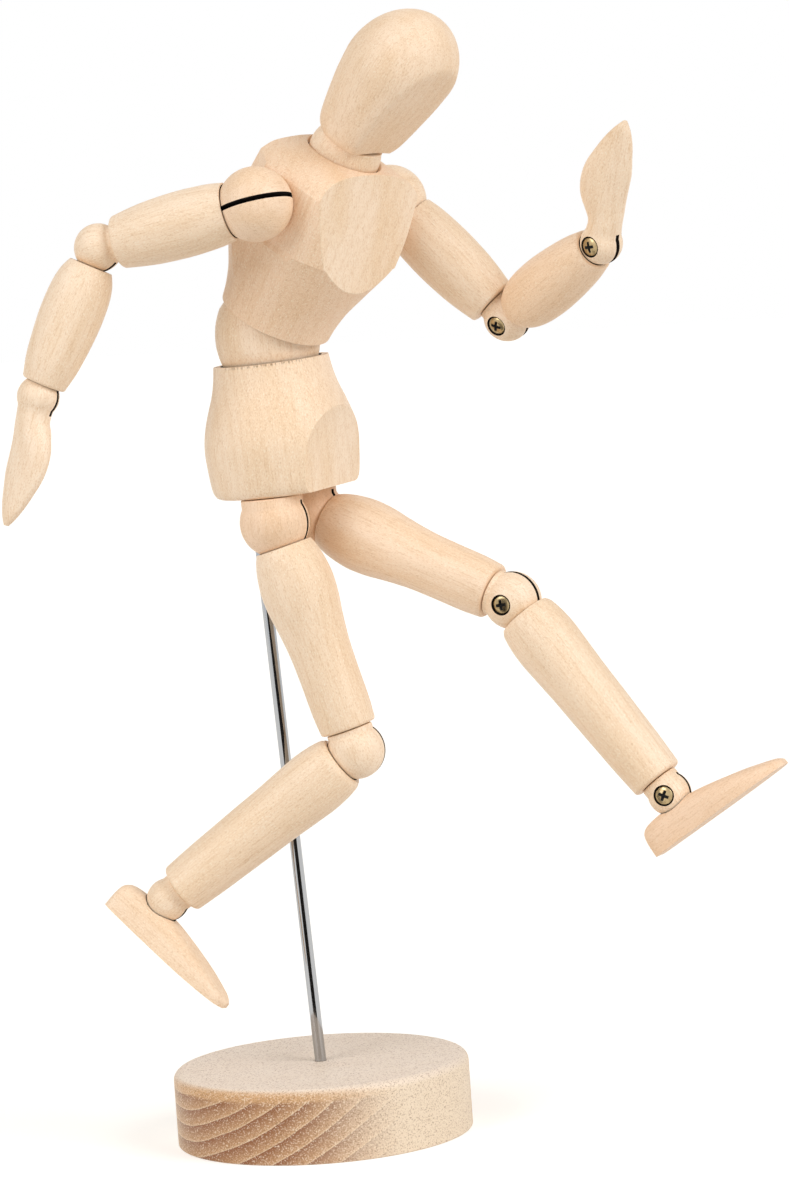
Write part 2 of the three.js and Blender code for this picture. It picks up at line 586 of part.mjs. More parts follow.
function addArm(chest, side) {
  const pose = ARM_POSES[side];
  const sign = SIDES[side];
  const shoulder = [sign * SHOULDER_SPREAD, 0, SHOULDER_HEIGHT];
  const turn = hinge(chest, `${side}_shoulder_turn`, shoulder, 'x', pose.shoulder);
  const swing = hinge(turn, `${side}_arm_raise`, [0, 0, 0], 'y', pose.raise);
  const elbowTurn = hinge(swing, `${side}_elbow_turn`, [0, 0, -UPPER_ARM_LENGTH], 'z', pose.elbowTurn);
  const elbow = hinge(elbowTurn, `${side}_elbow_bend`, [0, 0, 0], 'x', pose.elbow);
  const wristTurn = hinge(elbow, `${side}_wrist_turn`, [0, 0, -FOREARM_LENGTH], 'z', pose.wristTurn);
  const wrist = hinge(wristTurn, `${side}_wrist_bend`, [0, 0, 0], 'x', pose.wrist);

  const ball = knuckle(SHOULDER_RADIUS, SHOULDER_SEAT, { spigot: false }).rotate([0, -90 * sign, 0]);
  const slot = towardsMiddle(kerf(SHOULDER_RADIUS, SHOULDER_SEAT - KNUCKLE_WEB).rotateZ(Math.PI / 2), sign);
  const springHole = towardsMiddle(
    bore(SPRING_RADIUS + SPRING_WIRE_RADIUS, 0, SHOULDER_SEAT + CUT_PAST), sign,
  );
  const pinEnd = SHOULDER_RADIUS - SCREW_SHORT_OF_FAR_SIDE;
  const pinHole = bore(SCREW_SHANK_RADIUS, -SHOULDER_RADIUS - CUT_PAST, pinEnd + CLEARANCE);
  const pin = rod(SCREW_SHANK_RADIUS, -pinEnd, pinEnd);
  piece(turn, `${side}_shoulder_ball`, cut(
    ball, slot, springHole, pinHole.rotateX(Math.PI / 2),
  ), 'paleWood');
  piece(turn, `${side}_shoulder_pin`, solid(pin.rotateX(Math.PI / 2)), 'steel');

  const armRim = cupRim(SHOULDER_RADIUS, SHOULDER_CUP_ANGLE);
  const armTongueEnd = SHOULDER_RADIUS + TONGUE_TAIL;
  const armEnd = UPPER_ARM_LENGTH - ELBOW_SEAT - CLEARANCE;
  const arm = limb(armRim, UPPER_ARM_FULL_RADIUS, UPPER_ARM_FULL_AT, [UPPER_ARM_END_RADIUS, armEnd]);
  piece(swing, `${side}_upper_arm`, cut(
    arm, hollow(SHOULDER_RADIUS + CLEARANCE), mortise(armTongueEnd).rotateZ(Math.PI / 2),
    spigotBore(-armEnd - CLEARANCE),
  ), 'paleWood');
  piece(swing, `${side}_shoulder_tongue`, solid(tongue(armTongueEnd).rotateZ(Math.PI / 2)), 'steel');
  slottedKnuckle(elbowTurn, 'elbow', ELBOW_RADIUS, ELBOW_SEAT, side);

  const wristRim = cupRim(WRIST_RADIUS, WRIST_CUP_ANGLE);
  const foreTongueEnd = ELBOW_RADIUS + TONGUE_TAIL;
  const foreEnd = [wristRim[0], FOREARM_LENGTH - wristRim[1]];
  const fore = limb(cupRim(ELBOW_RADIUS, ELBOW_CUP_ANGLE), FOREARM_FULL_RADIUS, FOREARM_FULL_AT, foreEnd);
  const pinFoot = WRIST_RADIUS + CLEARANCE / 2;
  const pinTop = WRIST_RADIUS + WRIST_PIN_LENGTH;
  const wristBore = bore(WRIST_PIN_RADIUS, 0, pinTop + CLEARANCE).translate(0, 0, -FOREARM_LENGTH);
  piece(elbow, `${side}_forearm`, cut(
    fore, hollow(ELBOW_RADIUS + CLEARANCE), mortise(foreTongueEnd),
    hollow(WRIST_RADIUS + CLEARANCE).translate(0, 0, -FOREARM_LENGTH), wristBore,
  ), 'paleWood');
  piece(elbow, `${side}_elbow_tongue`, solid(tongue(foreTongueEnd)), 'steel');
  const wristPlate = solid(tongue(pinFoot + CLEARANCE).rotateX(Math.PI));
  const wristPin = solid(rod(WRIST_PIN_RADIUS, pinFoot, pinTop));
  piece(wristTurn, `${side}_wrist_tongue`, wristPlate.add(wristPin), 'steel');
  piece(wrist, `${side}_hand`, handPiece(sign), 'paleWood');
  piece(wrist, `${side}_wrist_screw`, screw(WRIST_RADIUS).rotate([0, -90 * sign, 0]), 'brass');
}

function addLeg(pelvis, side) {
  const pose = LEG_POSES[side];
  const hipCentre = [SIDES[side] * HIP_SPREAD, 0, -HIP_DROP];
  const hipTurn = hinge(pelvis, `${side}_hip_turn`, hipCentre, 'z', pose.hipTurn);
  const hip = hinge(hipTurn, `${side}_hip_bend`, [0, 0, 0], 'x', pose.hip);
  const kneeTurn = hinge(hip, `${side}_knee_turn`, [0, 0, -THIGH_LENGTH], 'z', pose.kneeTurn);
  const knee = hinge(kneeTurn, `${side}_knee_bend`, [0, 0, 0], 'x', pose.knee);
  const ankleTurn = hinge(knee, `${side}_ankle_turn`, [0, 0, -SHIN_LENGTH], 'z', pose.ankleTurn);
  const ankle = hinge(ankleTurn, `${side}_ankle_bend`, [0, 0, 0], 'x', pose.ankle);

  slottedKnuckle(hipTurn, 'hip', HIP_RADIUS, HIP_SEAT, side, { straightFrom: HIP_STRAIGHT_FROM });
  const thighTongueEnd = HIP_RADIUS + TONGUE_TAIL;
  const thighEnd = THIGH_LENGTH - KNEE_SEAT - CLEARANCE;
  const thighRim = cupRim(HIP_RADIUS, HIP_CUP_ANGLE);
  const thigh = limb(thighRim, THIGH_FULL_RADIUS, THIGH_FULL_AT, [THIGH_END_RADIUS, thighEnd]);
  piece(hip, `${side}_thigh`, cut(
    thigh, hollow(HIP_RADIUS + CLEARANCE), mortise(thighTongueEnd), spigotBore(-thighEnd - CLEARANCE),
  ), 'paleWood');
  piece(hip, `${side}_hip_tongue`, solid(tongue(thighTongueEnd)), 'steel');

  slottedKnuckle(kneeTurn, 'knee', KNEE_RADIUS, KNEE_SEAT, side);
  const shinTongueEnd = KNEE_RADIUS + TONGUE_TAIL;
  const shinEnd = SHIN_LENGTH - ANKLE_SEAT - CLEARANCE;
  const shinRim = cupRim(KNEE_RADIUS, KNEE_CUP_ANGLE);
  const shin = limb(shinRim, SHIN_FULL_RADIUS, SHIN_FULL_AT, [SHIN_END_RADIUS, shinEnd]);
  piece(knee, `${side}_shin`, cut(
    shin, hollow(KNEE_RADIUS + CLEARANCE), mortise(shinTongueEnd), spigotBore(-shinEnd - CLEARANCE),
  ), 'paleWood');
  piece(knee, `${side}_knee_tongue`, solid(tongue(shinTongueEnd)), 'steel');

  slottedKnuckle(ankleTurn, 'ankle', ANKLE_RADIUS, ANKLE_SEAT, side);
  const footTongueEnd = (ANKLE_RADIUS + FOOT_SOLE) / 2;
  piece(ankle, `${side}_foot`, footPiece(footTongueEnd), 'paleWood');
  piece(ankle, `${side}_ankle_tongue`, solid(tongue(footTongueEnd)), 'steel');
}

// The whole figure

const mannequin = new THREE.Group();
const stand = hinge(mannequin, 'stand', [0, 0, BASE_HEIGHT], 'x', ROD_LEAN);
piece(mannequin, 'base', basePiece(stand.matrix), 'baseWood');
piece(stand, 'support_rod', solid(rod(ROD_RADIUS, -ROD_IN_BASE, ROD_FREE_LENGTH + ROD_IN_PELVIS)), 'steel');

const pelvis = hinge(stand, 'pelvis', [0, -ROD_BEHIND_PELVIS_CENTRE, ROD_FREE_LENGTH], 'y', PELVIS_TILT);
const waist = hinge(pelvis, 'waist_turn', [0, 0, WAIST_CENTRE], 'z', WAIST_TURN);
const lean = hinge(waist, 'waist_lean', [0, 0, 0], 'y', WAIST_LEAN);
const chest = hinge(lean, 'chest_bend', [0, 0, 0], 'x', CHEST_BEND);
const neckLean = hinge(chest, 'neck_lean', [0, 0, NECK_PIVOT_HEIGHT], 'y', NECK_LEAN);
const neck = hinge(neckLean, 'neck_nod', [0, 0, 0], 'x', NECK_NOD);
const head = hinge(neck, 'head_turn', [0, 0, NECK_TOP + CLEARANCE], 'z', HEAD_TURN);

// A spring's path bends from the axis of the piece below to the axis of the piece above, through
// the pivot between them. It is written in the frame of the lean hinge.
function bentPath(leanHinge, bendHinge, down, up) {
  const unlean = new THREE.Euler(0, -leanHinge.rotation.y, 0);
  const below = new THREE.Vector3(0, 0, -down).applyEuler(unlean);
  const above = new THREE.Vector3(0, 0, up).applyEuler(bendHinge.rotation);
  return [below, new THREE.Vector3(), above];
}

function pathIn(points, matrix) {
  return new THREE.QuadraticBezierCurve3(...points.map((point) => point.clone().applyMatrix4(matrix)));
}

const still = new THREE.Matrix4();
const room = SPRING_END_ROOM;
const waistPoints = bentPath(lean, chest, WAIST_SPRING_DOWN, WAIST_SPRING_UP);
const waistBore = bentPath(lean, chest, WAIST_SPRING_DOWN + room, WAIST_SPRING_UP + room);
const neckPoints = bentPath(neckLean, neck, NECK_SPRING_DOWN, NECK_SPRING_UP);
const neckBore = bentPath(neckLean, neck, NECK_SPRING_DOWN + room, NECK_SPRING_UP + room);
const shoulderReach = CHEST_HALF_WIDTH + CLEARANCE + SHOULDER_SPRING_INTO_BALL;
const shoulderPath = new THREE.LineCurve3(
  new THREE.Vector3(-shoulderReach, 0, SHOULDER_HEIGHT),
  new THREE.Vector3(shoulderReach, 0, SHOULDER_HEIGHT),
);
const leanInPelvis = waist.matrix.clone().multiply(lean.matrix);
const neckLeanInHead = neck.matrix.clone().multiply(head.matrix).invert();

piece(pelvis, 'pelvis', pelvisPiece(pathIn(waistBore, leanInPelvis)), 'paleWood');
piece(waist, 'waist', waistPiece(pathIn(waistBore, lean.matrix)), 'paleWood');
piece(lean, 'waist_spring', coil('waist_spring', pathIn(waistPoints, still)), 'steel');
piece(chest, 'chest', chestPiece(
  pathIn(waistBore, chest.matrix.clone().invert()), pathIn(neckBore, neckLean.matrix), shoulderPath,
), 'paleWood');
piece(chest, 'shoulder_spring', coil('shoulder_spring', shoulderPath), 'steel');
piece(neckLean, 'neck_spring', coil('neck_spring', pathIn(neckPoints, still)), 'steel');
piece(neck, 'neck', neckPiece(pathIn(neckBore, neck.matrix.clone().invert())), 'paleWood');
piece(head, 'head', headPiece(pathIn(neckBore, neckLeanInHead)), 'paleWood');

for (const side of Object.keys(SIDES)) {
  addArm(chest, side);
  addLeg(pelvis, side);
}

export default mannequin;
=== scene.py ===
from math import acos, atan2, cos, degrees, hypot, pi, radians, sin, sqrt, tau

import bmesh
import bpy
from mathutils import Matrix, Vector
from mathutils.geometry import interpolate_bezier


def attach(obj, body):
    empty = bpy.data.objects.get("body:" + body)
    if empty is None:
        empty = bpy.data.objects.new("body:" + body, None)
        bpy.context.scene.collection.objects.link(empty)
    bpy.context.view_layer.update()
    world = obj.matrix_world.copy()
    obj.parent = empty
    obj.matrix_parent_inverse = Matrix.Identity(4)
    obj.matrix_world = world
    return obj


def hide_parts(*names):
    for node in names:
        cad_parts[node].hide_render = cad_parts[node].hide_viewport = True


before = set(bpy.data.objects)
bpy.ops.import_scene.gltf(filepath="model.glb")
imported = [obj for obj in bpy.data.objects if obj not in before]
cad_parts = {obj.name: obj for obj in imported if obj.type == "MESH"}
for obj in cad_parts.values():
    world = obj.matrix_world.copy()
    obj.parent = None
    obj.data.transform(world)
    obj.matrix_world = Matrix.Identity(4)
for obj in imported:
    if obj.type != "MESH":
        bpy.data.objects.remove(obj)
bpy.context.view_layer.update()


# Base
# A disc of plain beech, turned on a lathe with a softly rounded top edge and sanded. The board
# lies flat, so the cut ends of its fibres show as slanting year rings round part of the side.
MM = 0.001
BASE_RADIUS = 40
BASE_HEIGHT = 20
BASE_TOP_ROUND = 2.2
BASE_FOOT_ROUND = 0.5
BASE_FACETS = 192
ROD_RADIUS = 1.55
ROD_IN_BASE = 14
ROD_LEAN = -2.7
GAP = 0.15
PAST = 2
FACETS = 96
DRILL_FACETS = 32
HARD_ANGLE = 40
SHARP_ANGLE = 32
EDGE_STEPS = 3
TURNED_MERGE = 1e-4
CUT_MERGE = 1e-3


def linear(colour):
    """An sRGB hex colour as the linear RGBA that a shader takes."""
    shares = [int(colour[i:i + 2], 16) / 255 for i in (1, 3, 5)]
    return [s / 12.92 if s <= 0.04045 else ((s + 0.055) / 1.055) ** 2.4 for s in shares] + [1]


def hinge(parent, at, axis, angle):
    """The place of a piece, in millimetres, that turns about its own axis at a point of its parent."""
    return parent @ Matrix.Translation(at) @ Matrix.Rotation(radians(angle), 4, axis)


def arc(centre, radius, start, end, steps):
    """Radius and height of points round a centre on the axis, by degrees from straight down."""
    angles = [radians(start + (end - start) * i / steps) for i in range(steps + 1)]
    return [(radius * sin(a), centre - radius * cos(a)) for a in angles]


def turned(profile, soften=0, segments=FACETS):
    """A lathe-turned solid about Z from radius and height pairs, lowest first, with eased edges."""
    shape = bmesh.new()
    points = [shape.verts.new((radius, 0, height)) for radius, height in profile]
    lines = [shape.edges.new(pair) for pair in zip(points, points[1:])]
    bmesh.ops.spin(shape, geom=points + lines, cent=(0, 0, 0), axis=(0, 0, 1), angle=tau,
                   steps=segments, use_merge=True)
    bmesh.ops.remove_doubles(shape, verts=shape.verts, dist=TURNED_MERGE)
    bmesh.ops.recalc_face_normals(shape, faces=shape.faces)
    if soften:
        inner = [e for e in shape.edges if len(e.link_faces) == 2]
        hard = [e for e in inner if e.calc_face_angle() > radians(HARD_ANGLE)]
        bmesh.ops.bevel(shape, geom=hard, offset=soften, segments=EDGE_STEPS, profile=0.5,
                        affect="EDGES", material=-1)
    return shape


def rod(radius, start, end):
    return turned([(0, start), (radius, start), (radius, end), (0, end)], segments=DRILL_FACETS)


def moved(shape, place):
    """A shape, or a cutting tool, set to its place."""
    bmesh.ops.transform(shape, matrix=place, verts=shape.verts)
    return shape


def worked(body, tools, operation="DIFFERENCE"):
    """A body with the tools cut out of it, or only what they all share."""
    blanks = []
    for shape in (body, *tools):
        mesh = bpy.data.meshes.new("blank")
        shape.to_mesh(mesh)
        shape.free()
        blanks.append(bpy.data.objects.new("blank", mesh))
        bpy.context.scene.collection.objects.link(blanks[-1])
    for tool in blanks[1:]:
        step = blanks[0].modifiers.new("step", "BOOLEAN")
        step.operation = operation
        step.solver = "MANIFOLD"
        step.object = tool
    result = bmesh.new()
    result.from_object(blanks[0], bpy.context.evaluated_depsgraph_get())
    for blank in blanks:
        bpy.data.meshes.remove(blank.data)
    bmesh.ops.remove_doubles(result, verts=result.verts, dist=CUT_MERGE)
    return result


def fitted(name, shape, place, body, node, material, inside=None):
    """Sets a finished shape in its place, in metres, as the piece that stands for a CAD node."""
    bmesh.ops.transform(shape, matrix=Matrix.Scale(MM, 4) @ place, verts=shape.verts)
    mesh = bpy.data.meshes.new(name)
    shape.to_mesh(mesh)
    shape.free()
    mesh.shade_smooth()
    mesh.set_sharp_from_angle(angle=radians(SHARP_ANGLE))
    mesh.materials.append(material)
    if inside:
        mesh.materials.append(inside)
    made = bpy.data.objects.new(name, mesh)
    bpy.context.scene.collection.objects.link(made)
    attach(made, body)
    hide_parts(node)


def wired(tree, node, inputs):
    """A node with its inputs linked or set."""
    for socket, value in inputs.items():
        if isinstance(value, bpy.types.NodeSocket):
            tree.links.new(value, node.inputs[socket])
        else:
            node.inputs[socket].default_value = value
    return node


def add(tree, kind, inputs, output=0, **settings):
    """Adds a node to a material with its settings and inputs, and gives one of its outputs."""
    node = tree.nodes.new("ShaderNode" + kind)
    for name, value in settings.items():
        setattr(node, name, value)
    return wired(tree, node, inputs).outputs[output]


def new_material(name):
    material = bpy.data.materials.new(name)
    material.use_nodes = True
    return material, material.node_tree, material.node_tree.nodes["Principled BSDF"]


# Sanded beech: pinkish cream on the flat of the board on top, with painted shade making the sides a little
# darker, browner where the fibre ends soak up the finish, with pale lines between the year rings and a
# fine speckle of pores and rays.
PITH = Vector((-21, 30, 67))
RING_AXIS_TURN = -78
RING_WIDTH = 4.2
CLOUD_WIDTH = 14
BEECH_SPECK = 0.4
BEECH_SPECK_DEPTH = 0.12
BEECH_ROUGHNESS = (0.45, 0.62)
EDGE_BAND = (16, 17.4)
WOOD_IOR = 1.5
# What a wave texture's scale is multiplied by to have one wave to the unit
ONE_WAVE = tau / 20
BEECH_TONES = {"face": "#FBEFE4", "face_dark": "#F3E2D3", "flank": "#F1DFC8", "end": "#CEA278",
               "end_dark": "#8C5431", "ring": "#E6CBAB", "edge": "#DBAE7E", "fleck": "#8E6440",
               "ray": "#F8E8D4"}
base_wood, tree, shader = new_material("sanded_beech")
tones = {name: linear(colour) for name, colour in BEECH_TONES.items()}
ring_turn = Matrix.Rotation(radians(90), 3, "X") @ Matrix.Rotation(radians(RING_AXIS_TURN), 3, "Z")
spot = add(tree, "TexCoord", {}, "Object")
normal = add(tree, "NewGeometry", {}, "Normal")
board = add(tree, "Mapping", {
    "Vector": spot, "Rotation": ring_turn.to_euler(), "Location": -(ring_turn @ PITH) * MM})
rings = add(tree, "TexWave", {
    "Vector": board, "Scale": ONE_WAVE / (RING_WIDTH * MM), "Distortion": 1.1, "Detail": 2.0,
    "Detail Scale": 0.6}, "Fac", wave_type="RINGS", rings_direction="Z", wave_profile="SAW")
cloud = add(tree, "TexNoise", {"Vector": board, "Scale": 1 / (CLOUD_WIDTH * MM), "Detail": 3})
speck = add(tree, "TexNoise", {"Vector": board, "Scale": 1 / (BEECH_SPECK * MM), "Detail": 2})
ring_line = add(tree, "MapRange", {"Value": rings, "From Min": 0.88, "To Max": 0.95})
flecks = add(tree, "MapRange", {"Value": speck, "From Min": 0.54, "From Max": 0.66, "To Max": 0.55})
rays = add(tree, "MapRange", {"Value": speck, "From Min": 0.45, "From Max": 0.32, "To Max": 0.75})
facing = add(tree, "VectorMath", {
    0: normal, 1: ring_turn.transposed() @ Vector((0, 0, 1))}, "Value", operation="DOT_PRODUCT")
end_grain = add(tree, "MapRange", {
    "Value": add(tree, "Math", {0: facing}, operation="ABSOLUTE"), "From Min": 0.34,
}, interpolation_type="SMOOTHSTEP")
edge_share = add(tree, "MapRange", {
    "Value": add(tree, "SeparateXYZ", {"Vector": spot}, "Z"),
    "From Min": EDGE_BAND[0] * MM, "From Max": EDGE_BAND[1] * MM, "To Max": 0.85,
}, interpolation_type="SMOOTHSTEP")
upwards = add(tree, "SeparateXYZ", {"Vector": normal}, "Z")
top_tone = add(tree, "MixRGB", {"Fac": cloud, "Color1": tones["face"], "Color2": tones["face_dark"]})
# Painted shade: faces turned away from up take the darker flank tone, faces turned up the paler top tone
face_tone = add(tree, "MixRGB", {"Fac": upwards, "Color1": tones["flank"], "Color2": top_tone})
band_tone = add(tree, "MixRGB", {"Fac": rings, "Color1": tones["end_dark"], "Color2": tones["end"]})
end_tone = add(tree, "MixRGB", {"Fac": ring_line, "Color1": band_tone, "Color2": tones["ring"]})
side_tone = add(tree, "MixRGB", {"Fac": edge_share, "Color1": end_tone, "Color2": tones["edge"]})
board_tone = add(tree, "MixRGB", {"Fac": end_grain, "Color1": face_tone, "Color2": side_tone})
flecked = add(tree, "MixRGB", {"Fac": flecks, "Color1": board_tone, "Color2": tones["fleck"]})
wired(tree, shader, {
    "Base Color": add(tree, "MixRGB", {"Fac": rays, "Color1": flecked, "Color2": tones["ray"]}),
    "Roughness": add(tree, "MapRange", {
        "Value": speck, "To Min": BEECH_ROUGHNESS[0], "To Max": BEECH_ROUGHNESS[1]}),
    "Normal": add(tree, "Bump", {
        "Height": speck, "Strength": 0.3, "Distance": BEECH_SPECK_DEPTH * MM}),
    "IOR": WOOD_IOR,
})

still = Matrix.Identity(4)
stand = hinge(still, (0, 0, BASE_HEIGHT), "X", ROD_LEAN)
top_edge = [(BASE_RADIUS - BASE_TOP_ROUND + r, z)
            for r, z in arc(BASE_HEIGHT - BASE_TOP_ROUND, BASE_TOP_ROUND, 90, 180, 8)]
foot_edge = [(BASE_RADIUS - BASE_FOOT_ROUND + r, z)
             for r, z in arc(BASE_FOOT_ROUND, BASE_FOOT_ROUND, 0, 90, 4)]
disc = turned([(0, 0), *foot_edge, *top_edge, (0, BASE_HEIGHT)], segments=BASE_FACETS)
rod_hole = moved(rod(ROD_RADIUS + GAP, -ROD_IN_BASE - GAP, PAST), stand)
fitted("base_disc", worked(disc, [rod_hole]), still, "stand", "base", base_wood)


# Support rod
# Drawn steel wire, cut to length, ground at the ends and polished. It is pressed into the base and
# up into the pelvis, and leans a little with the runner.
ROD_FREE_LENGTH = 154.7
ROD_IN_PELVIS = 18
ROD_CHAMFER = 0.3
ROD_FACETS = 48
POLISH_GRIT = 0.4
POLISH_STRETCH = 60
STEEL_COLOURS = ("#BFC1C4", "#A2A5A9")
POLISHED_ROUGHNESS = (0.07, 0.13)
MARK_DEPTH = 0.02


def metal(name, colours, roughness, grit, stretch, along):
    """A bare metal whose fine marks run along the piece, in two shades with an uneven polish."""
    material, tree, shader = new_material(name)
    turn = along.to_3x3().transposed()
    spot = add(tree, "TexCoord", {}, "Object")
    lying = add(tree, "Mapping", {"Vector": spot, "Rotation": turn.to_euler()})
    drawn = add(tree, "VectorMath", {0: lying, 1: (1, 1, 1 / stretch)}, operation="MULTIPLY")
    marks = add(tree, "TexNoise", {"Vector": drawn, "Scale": 1 / (grit * MM), "Detail": 3})
    wired(tree, shader, {
        "Base Color": add(tree, "MixRGB", {
            "Fac": marks, "Color1": linear(colours[0]), "Color2": linear(colours[1])}),
        "Roughness": add(tree, "MapRange", {
            "Value": marks, "From Min": 0.3, "From Max": 0.7, "To Min": roughness[0],
            "To Max": roughness[1]}),
        "Normal": add(tree, "Bump", {
            "Height": marks, "Strength": 0.1, "Distance": MARK_DEPTH * MM}),
        "Metallic": 1,
    })
    return material


# Polished steel: a cool mirror with hair-fine drawing marks along its length
polished_steel = metal("polished_steel", STEEL_COLOURS, POLISHED_ROUGHNESS, POLISH_GRIT,
                       POLISH_STRETCH, stand)
rod_end = ROD_FREE_LENGTH + ROD_IN_PELVIS
wire = turned([(0, -ROD_IN_BASE), (ROD_RADIUS, -ROD_IN_BASE), (ROD_RADIUS, rod_end), (0, rod_end)],
              soften=ROD_CHAMFER, segments=ROD_FACETS)
fitted("support_rod_steel", wire, stand, "stand", "support_rod", polished_steel)


# Pelvis
# A turned block of pale wood, planed to one hollowed flat in front and sawn across the top. The
# grain runs upright, and the saw has left the top rim a little rough.
ROD_BEHIND_PELVIS_CENTRE = 10
PELVIS_TILT = -2.4
# Height and radius of the turned block, from its underside up, then height and reach of its flat
PELVIS_ROWS = [(0, 18.4), (0.6, 19.3), (2.4, 20.1), (6, 20.6), (12, 21), (16.5, 20.5), (22, 18.9),
               (27, 17.1), (31, 16.1), (35, 15.5)]
PELVIS_FLAT = [(0, 14.2), (4, 14.6), (8, 15.2), (12, 15.9), (16, 16.9), (20, 18.4), (24, 20.6), (35, 28)]
PELVIS_FLAT_TURN = -8
PELVIS_BACK = 17.5
PELVIS_GRAIN_TURN = -66
WAIST_CENTRE = 41.4
WAIST_RADIUS = 14
WAIST_BULGE_RADIUS = 19.4
WAIST_BAND = 9
SEAT_GAP = 0.3
HIP_SPREAD = 11.5
SPIGOT_RADIUS = 2.2
SPIGOT_LENGTH = 9
SPRING_BORE_RADIUS = 2.65
WAIST_SPRING_REACH = 25.8
FAR = 60
waist_bulge_centre = WAIST_RADIUS - WAIST_BULGE_RADIUS
waist_edge = waist_bulge_centre + sqrt(WAIST_BULGE_RADIUS ** 2 - WAIST_BAND ** 2)
waist_cap = hypot(waist_edge, WAIST_BAND)


def curved(points, steps):
    """A smooth run of points through a few given ones."""
    ends = [points[0], *points, points[-1]]
    run = []
    for before, start, end, after in zip(ends, ends[1:], ends[2:], ends[3:]):
        before, start, end, after = (Vector((*p, 0)) for p in (before, start, end, after))
        handles = start + (end - before) / 6, end - (after - start) / 6
        run += interpolate_bezier(start, *handles, end, steps + 1)[:-1]
    return [(p.x, p.y) for p in run] + [tuple(points[-1])]


def outline(rows, steps=6):
    """Reach and height up a smooth side, from rows of height and reach."""
    return curved([(reach, height) for height, reach in rows], steps)


def plank(outline, angle, half_length):
    """A board of an outline of depth and height, laid across and turned from the front by an angle."""
    shape = bmesh.new()
    corners = [shape.verts.new((-half_length, -depth, height)) for depth, height in outline]
    side = shape.faces.new(corners)
    grown = bmesh.ops.extrude_face_region(shape, geom=[side])["geom"]
    far = [part for part in grown if isinstance(part, bmesh.types.BMVert)]
    bmesh.ops.translate(shape, vec=(2 * half_length, 0, 0), verts=far)
    bmesh.ops.recalc_face_normals(shape, faces=shape.faces)
    return moved(shape, Matrix.Rotation(radians(angle), 4, "Z"))


def ball(radius):
    shape = bmesh.new()
    bmesh.ops.create_uvsphere(shape, u_segments=FACETS, v_segments=FACETS // 2, radius=radius)
    return shape


def bored(start, end, radius):
    """A drill from one point to another."""
    line = Vector(end) - Vector(start)
    along = Vector((0, 0, 1)).rotation_difference(line).to_matrix().to_4x4()
    return moved(rod(radius, 0, line.length), Matrix.Translation(start) @ along)


# Unstained lime-like wood, sanded and left satin: cream with faint lengthwise figure and streaks
# under a fine stipple of darker pores and paler flecks. The stipple is drawn coarser than it is, a
# quarter of a millimetre wide, so that it shows.
PALE_TONES = {"light": "#FDE7CF", "mid": "#F5DABB", "line": "#DDB78D", "pore": "#C0935F",
              "pale": "#FFF1DE", "sawn": "#8F6C48", "warm": "#F2B483"}
PORE_WIDTH = 0.27
PORE_STRETCH = 2.2
PORE_DEPTH = 0.1
STREAK_WIDTH = 0.5
STREAK_STRETCH = 22
FIGURE_WIDTH = 9
FIGURE_STRETCH = 9
LINE_WIDTH = 2.8
# How strongly the year lines show: in most pieces, in the trunk and shoulders, and in the hands
PLAIN_LINES = 0.13
TRUNK_LINES = 0.12
HAND_LINES = 0.16
SAWN_DEPTH = 0.8
# How much deeper the turned bowl is, and how much warmer the turned chest is than its flat front: partly
# the end grain's own tone, partly painted shade by the shoulder balls and under the ridge
BOWL_TONE_AND_SHADE = 0.12
TONE_AND_SHADE_BLUR = 0.15
TURNED_TONE_AND_SHADE = 0.18
# Each piece is cut from its own stick, and some are made redder: partly the stick's own tone, partly
# painted warm shade on pieces that lie in shadow, the left hip most
STICK_TONE_AND_SHADE = {"right_hip": 0.24, "left_hip": 0.35, "left_foot": 0.28, "left_thigh": 0.1,
          "right_shoulder": 0.16, "left_forearm": 0.14, "head": 0.06, "right_foot": 0.08}
STICKS_APART = Vector((0.037, 0.053, 0.091))
PALE_ROUGHNESS = (0.42, 0.6)
sticks = []


